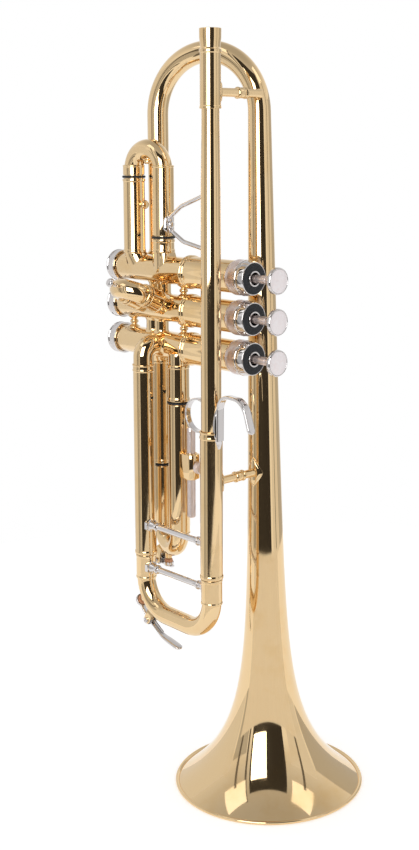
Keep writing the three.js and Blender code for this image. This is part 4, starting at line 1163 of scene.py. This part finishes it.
def card(name, studio, turns, heights, distance, look):
    """An upright panel curved round the trumpet between two turns, seen only in reflections.

    Point = distance * (cos turn * back + sin turn * right) + height * up, the turn in degrees from the camera.
    """
    back, right = studio_axes(studio)
    angle = np.radians(np.linspace(*turns, 13))[None, :, None]
    height = np.array(heights, float)[:, None, None]
    points = distance * (np.cos(angle) * back + np.sin(angle) * right) + height * Z
    corners, quads = grid(points, wrap_columns=False)
    mesh = bpy.data.meshes.new(name)
    mesh.from_pydata(corners, [], quads.tolist())
    mesh.materials.append(look)
    thing = bpy.data.objects.new(name, mesh)
    bpy.context.scene.collection.objects.link(thing)
    thing.visible_camera = False
    thing.visible_shadow = False
    thing.visible_diffuse = False


CARDS = (  # name, turns in degrees, heights and distance in metres, look
    ("front_softbox", (-40, -7), (0.255, 0.85), 0.75, "white"),
    ("dark_opening", (-44, 37), (-0.6, 1.6), 1.0, "black"),
    ("front_lip", (-75, 75), (0.0, 0.095), 0.26, "lip"),
    ("left_seam", (-54, -50), (-0.6, 3.0), 1.5, "dim"),
    ("left_side", (-84, -56), (-0.5, 0.85), 1.65, "grey"),
    ("left_back", (-165, -86), (-0.5, 1.1), 1.65, "pale"),
    ("left_line", (-73, -69), (-0.5, 1.5), 1.3, "dim"),
    ("right_line", (69, 73), (-0.5, 1.5), 1.3, "dim"),
    ("left_high_box", (-88, -52), (1.5, 2.7), 1.4, "soft"),
    ("right_high_box", (48, 84), (1.5, 2.7), 1.4, "soft"),
    ("right_wash", (50, 94), (-0.5, 1.2), 1.7, "pale"),
    ("right_side", (97, 150), (-0.5, 0.85), 1.6, "grey"),
)


def make_stage(studio):
    scene = bpy.context.scene
    world = bpy.data.worlds.new("white_surround")
    world.use_nodes = True
    tree = world.node_tree
    backdrop = tree.nodes["Background"]
    backdrop.inputs["Strength"].default_value = studio.surround
    place, parts = new_node(tree, "ShaderNodeTexCoord"), new_node(tree, "ShaderNodeSeparateXYZ")
    tree.links.new(place.outputs["Generated"], parts.inputs["Vector"])
    overhead = spread(tree, parts.outputs["Z"], 0.3, 0.95, 1.0, 0.5)
    tree.links.new(overhead, backdrop.inputs["Color"])
    scene.world = world
    table = bpy.data.meshes.new("floor")
    rim = np.linspace(0, TAU, 96, endpoint=False)
    edge = 0.6 * np.stack([np.cos(rim), np.sin(rim), 0 * rim], -1)
    table.from_pydata(edge, [], [tuple(range(96))])
    table.materials.append(stage_material("white_table", (0.93, 0.93, 0.93), 0.42))
    floor = bpy.data.objects.new("floor", table)
    scene.collection.objects.link(floor)
    looks = {
        "white": stage_material("softbox_white", (1, 1, 1), studio.softbox),
        "black": stage_material("black_cloth", (0.03, 0.026, 0.022)),
        "grey": stage_material("grey_cloth", (0.5, 0.5, 0.5), 0.15),
        "pale": stage_material("pale_cloth", (0.6, 0.6, 0.6), 0.45),
        "dim": stage_material("grey_seam", (0.16, 0.15, 0.14)),
        "soft": stage_material("high_box_white", (0.9, 0.9, 0.9), 0.75),
        "lip": stage_material("white_card", (0.85, 0.85, 0.85), 0.1),
    }
    for name, turns, rises, distance, look in CARDS:
        card(name, studio, turns, rises, distance, looks[look])

    back, right = studio_axes(studio)
    eye = back * studio.distance + right * studio.aside + Z * studio.height
    ahead = -back * math.cos(studio.pitch) - Z * math.sin(studio.pitch)
    up = np.cross(right, ahead)
    c, s = math.cos(studio.roll), math.sin(studio.roll)
    rolled_right, rolled_up = right * c + up * s, -right * s + up * c
    camera = bpy.data.objects.new("camera", bpy.data.cameras.new("camera"))
    turn = np.eye(4)
    turn[:3, :3] = np.stack([rolled_right, rolled_up, -ahead], -1)
    turn[:3, 3] = eye
    camera.matrix_world = Matrix(turn.tolist())
    camera.data.lens = studio.lens
    camera.data.shift_y = -0.05
    camera.data.clip_start = 0.01
    scene.collection.objects.link(camera)
    scene.camera = camera
    scene.view_settings.view_transform = "Standard"


# ---------------------------------------------------------------- operators
class MakeBell(bpy.types.Operator):
    """Make the bell and its two stays."""

    bl_idname = "trumpet.bell"
    bl_label = "Bell"

    def execute(self, context):
        make_bell()
        return {"FINISHED"}


class MakeLeadpipe(bpy.types.Operator):
    """Make the mouthpiece receiver, the leadpipe and the upper slide tube."""

    bl_idname = "trumpet.leadpipe"
    bl_label = "Leadpipe"

    def execute(self, context):
        make_leadpipe()
        return {"FINISHED"}


class MakeMainSlide(bpy.types.Operator):
    """Make the main tuning slide, its fixed lower tube and both braces."""

    bl_idname = "trumpet.main_slide"
    bl_label = "Main Tuning Slide"

    def execute(self, context):
        make_main_slide()
        return {"FINISHED"}


class MakeHook(bpy.types.Operator):
    """Make the little finger's hook."""

    bl_idname = "trumpet.hook"
    bl_label = "Finger Hook"

    def execute(self, context):
        make_hook()
        return {"FINISHED"}


class MakeCasings(bpy.types.Operator):
    """Make the valve casings, windways and posts."""

    bl_idname = "trumpet.casings"
    bl_label = "Valve Casings"

    def execute(self, context):
        make_casings()
        return {"FINISHED"}


class MakeCaps(bpy.types.Operator):
    """Make the valve caps and their felts."""

    bl_idname = "trumpet.caps"
    bl_label = "Valve Caps"

    def execute(self, context):
        make_caps()
        return {"FINISHED"}


class MakePistons(bpy.types.Operator):
    """Make the pistons, springs, finger buttons and pearls."""

    bl_idname = "trumpet.pistons"
    bl_label = "Pistons and Buttons"

    def execute(self, context):
        make_pistons()
        return {"FINISHED"}


class MakeFirstSlide(bpy.types.Operator):
    """Make the first slide, its tubes and its thumb saddle."""

    bl_idname = "trumpet.first_slide"
    bl_label = "First Slide"

    def execute(self, context):
        make_first_slide()
        make_thumb_saddle()
        return {"FINISHED"}


class MakeSecondSlide(bpy.types.Operator):
    """Make the second slide and its tubes."""

    bl_idname = "trumpet.second_slide"
    bl_label = "Second Slide"

    def execute(self, context):
        make_second_slide()
        return {"FINISHED"}


class MakeThirdSlide(bpy.types.Operator):
    """Make the third slide, its tubes and its finger ring."""

    bl_idname = "trumpet.third_slide"
    bl_label = "Third Slide"

    def execute(self, context):
        make_third_slide()
        make_finger_ring()
        return {"FINISHED"}


class MakeWaterKeys(bpy.types.Operator):
    """Make both water keys with their saddles, springs and corks."""

    bl_idname = "trumpet.water_keys"
    bl_label = "Water Keys"

    def execute(self, context):
        make_water_keys()
        return {"FINISHED"}


class MakeStage(bpy.types.Operator):
    """Make the floor, the white surround, the panels and the camera."""

    bl_idname = "trumpet.stage"
    bl_label = "Stage"

    def execute(self, context):
        make_stage(context.scene.trumpet_studio)
        return {"FINISHED"}


MAKERS = (
    MakeStage, MakeBell, MakeLeadpipe, MakeMainSlide, MakeHook, MakeCasings, MakeCaps, MakePistons,
    MakeFirstSlide, MakeSecondSlide, MakeThirdSlide, MakeWaterKeys,
)
SETTINGS = {"trumpet_finish": TrumpetFinish, "trumpet_turning": TrumpetTurning, "trumpet_studio": TrumpetStudio}


class TrumpetPanel(bpy.types.Panel):
    """The trumpet's makers and settings."""

    bl_idname = "VIEW3D_PT_trumpet"
    bl_label = "Trumpet"
    bl_space_type = "VIEW_3D"
    bl_region_type = "UI"
    bl_category = "Trumpet"

    def draw(self, context):
        for maker in MAKERS:
            self.layout.operator(maker.bl_idname)
        for name, group in SETTINGS.items():
            box = self.layout.box()
            settings = getattr(context.scene, name)
            for key in group.__annotations__:
                box.prop(settings, key)


def register():
    for group in (*SETTINGS.values(), *MAKERS, TrumpetPanel):
        bpy.utils.register_class(group)
    for name, group in SETTINGS.items():
        setattr(bpy.types.Scene, name, bpy.props.PointerProperty(type=group))


def unregister():
    for name in SETTINGS:
        delattr(bpy.types.Scene, name)
    for group in reversed((*SETTINGS.values(), *MAKERS, TrumpetPanel)):
        bpy.utils.unregister_class(group)


def main():
    register()
    for maker in MAKERS:
        family, verb = maker.bl_idname.split(".")
        getattr(getattr(bpy.ops, family), verb)()


if __name__ == "__main__":
    main()
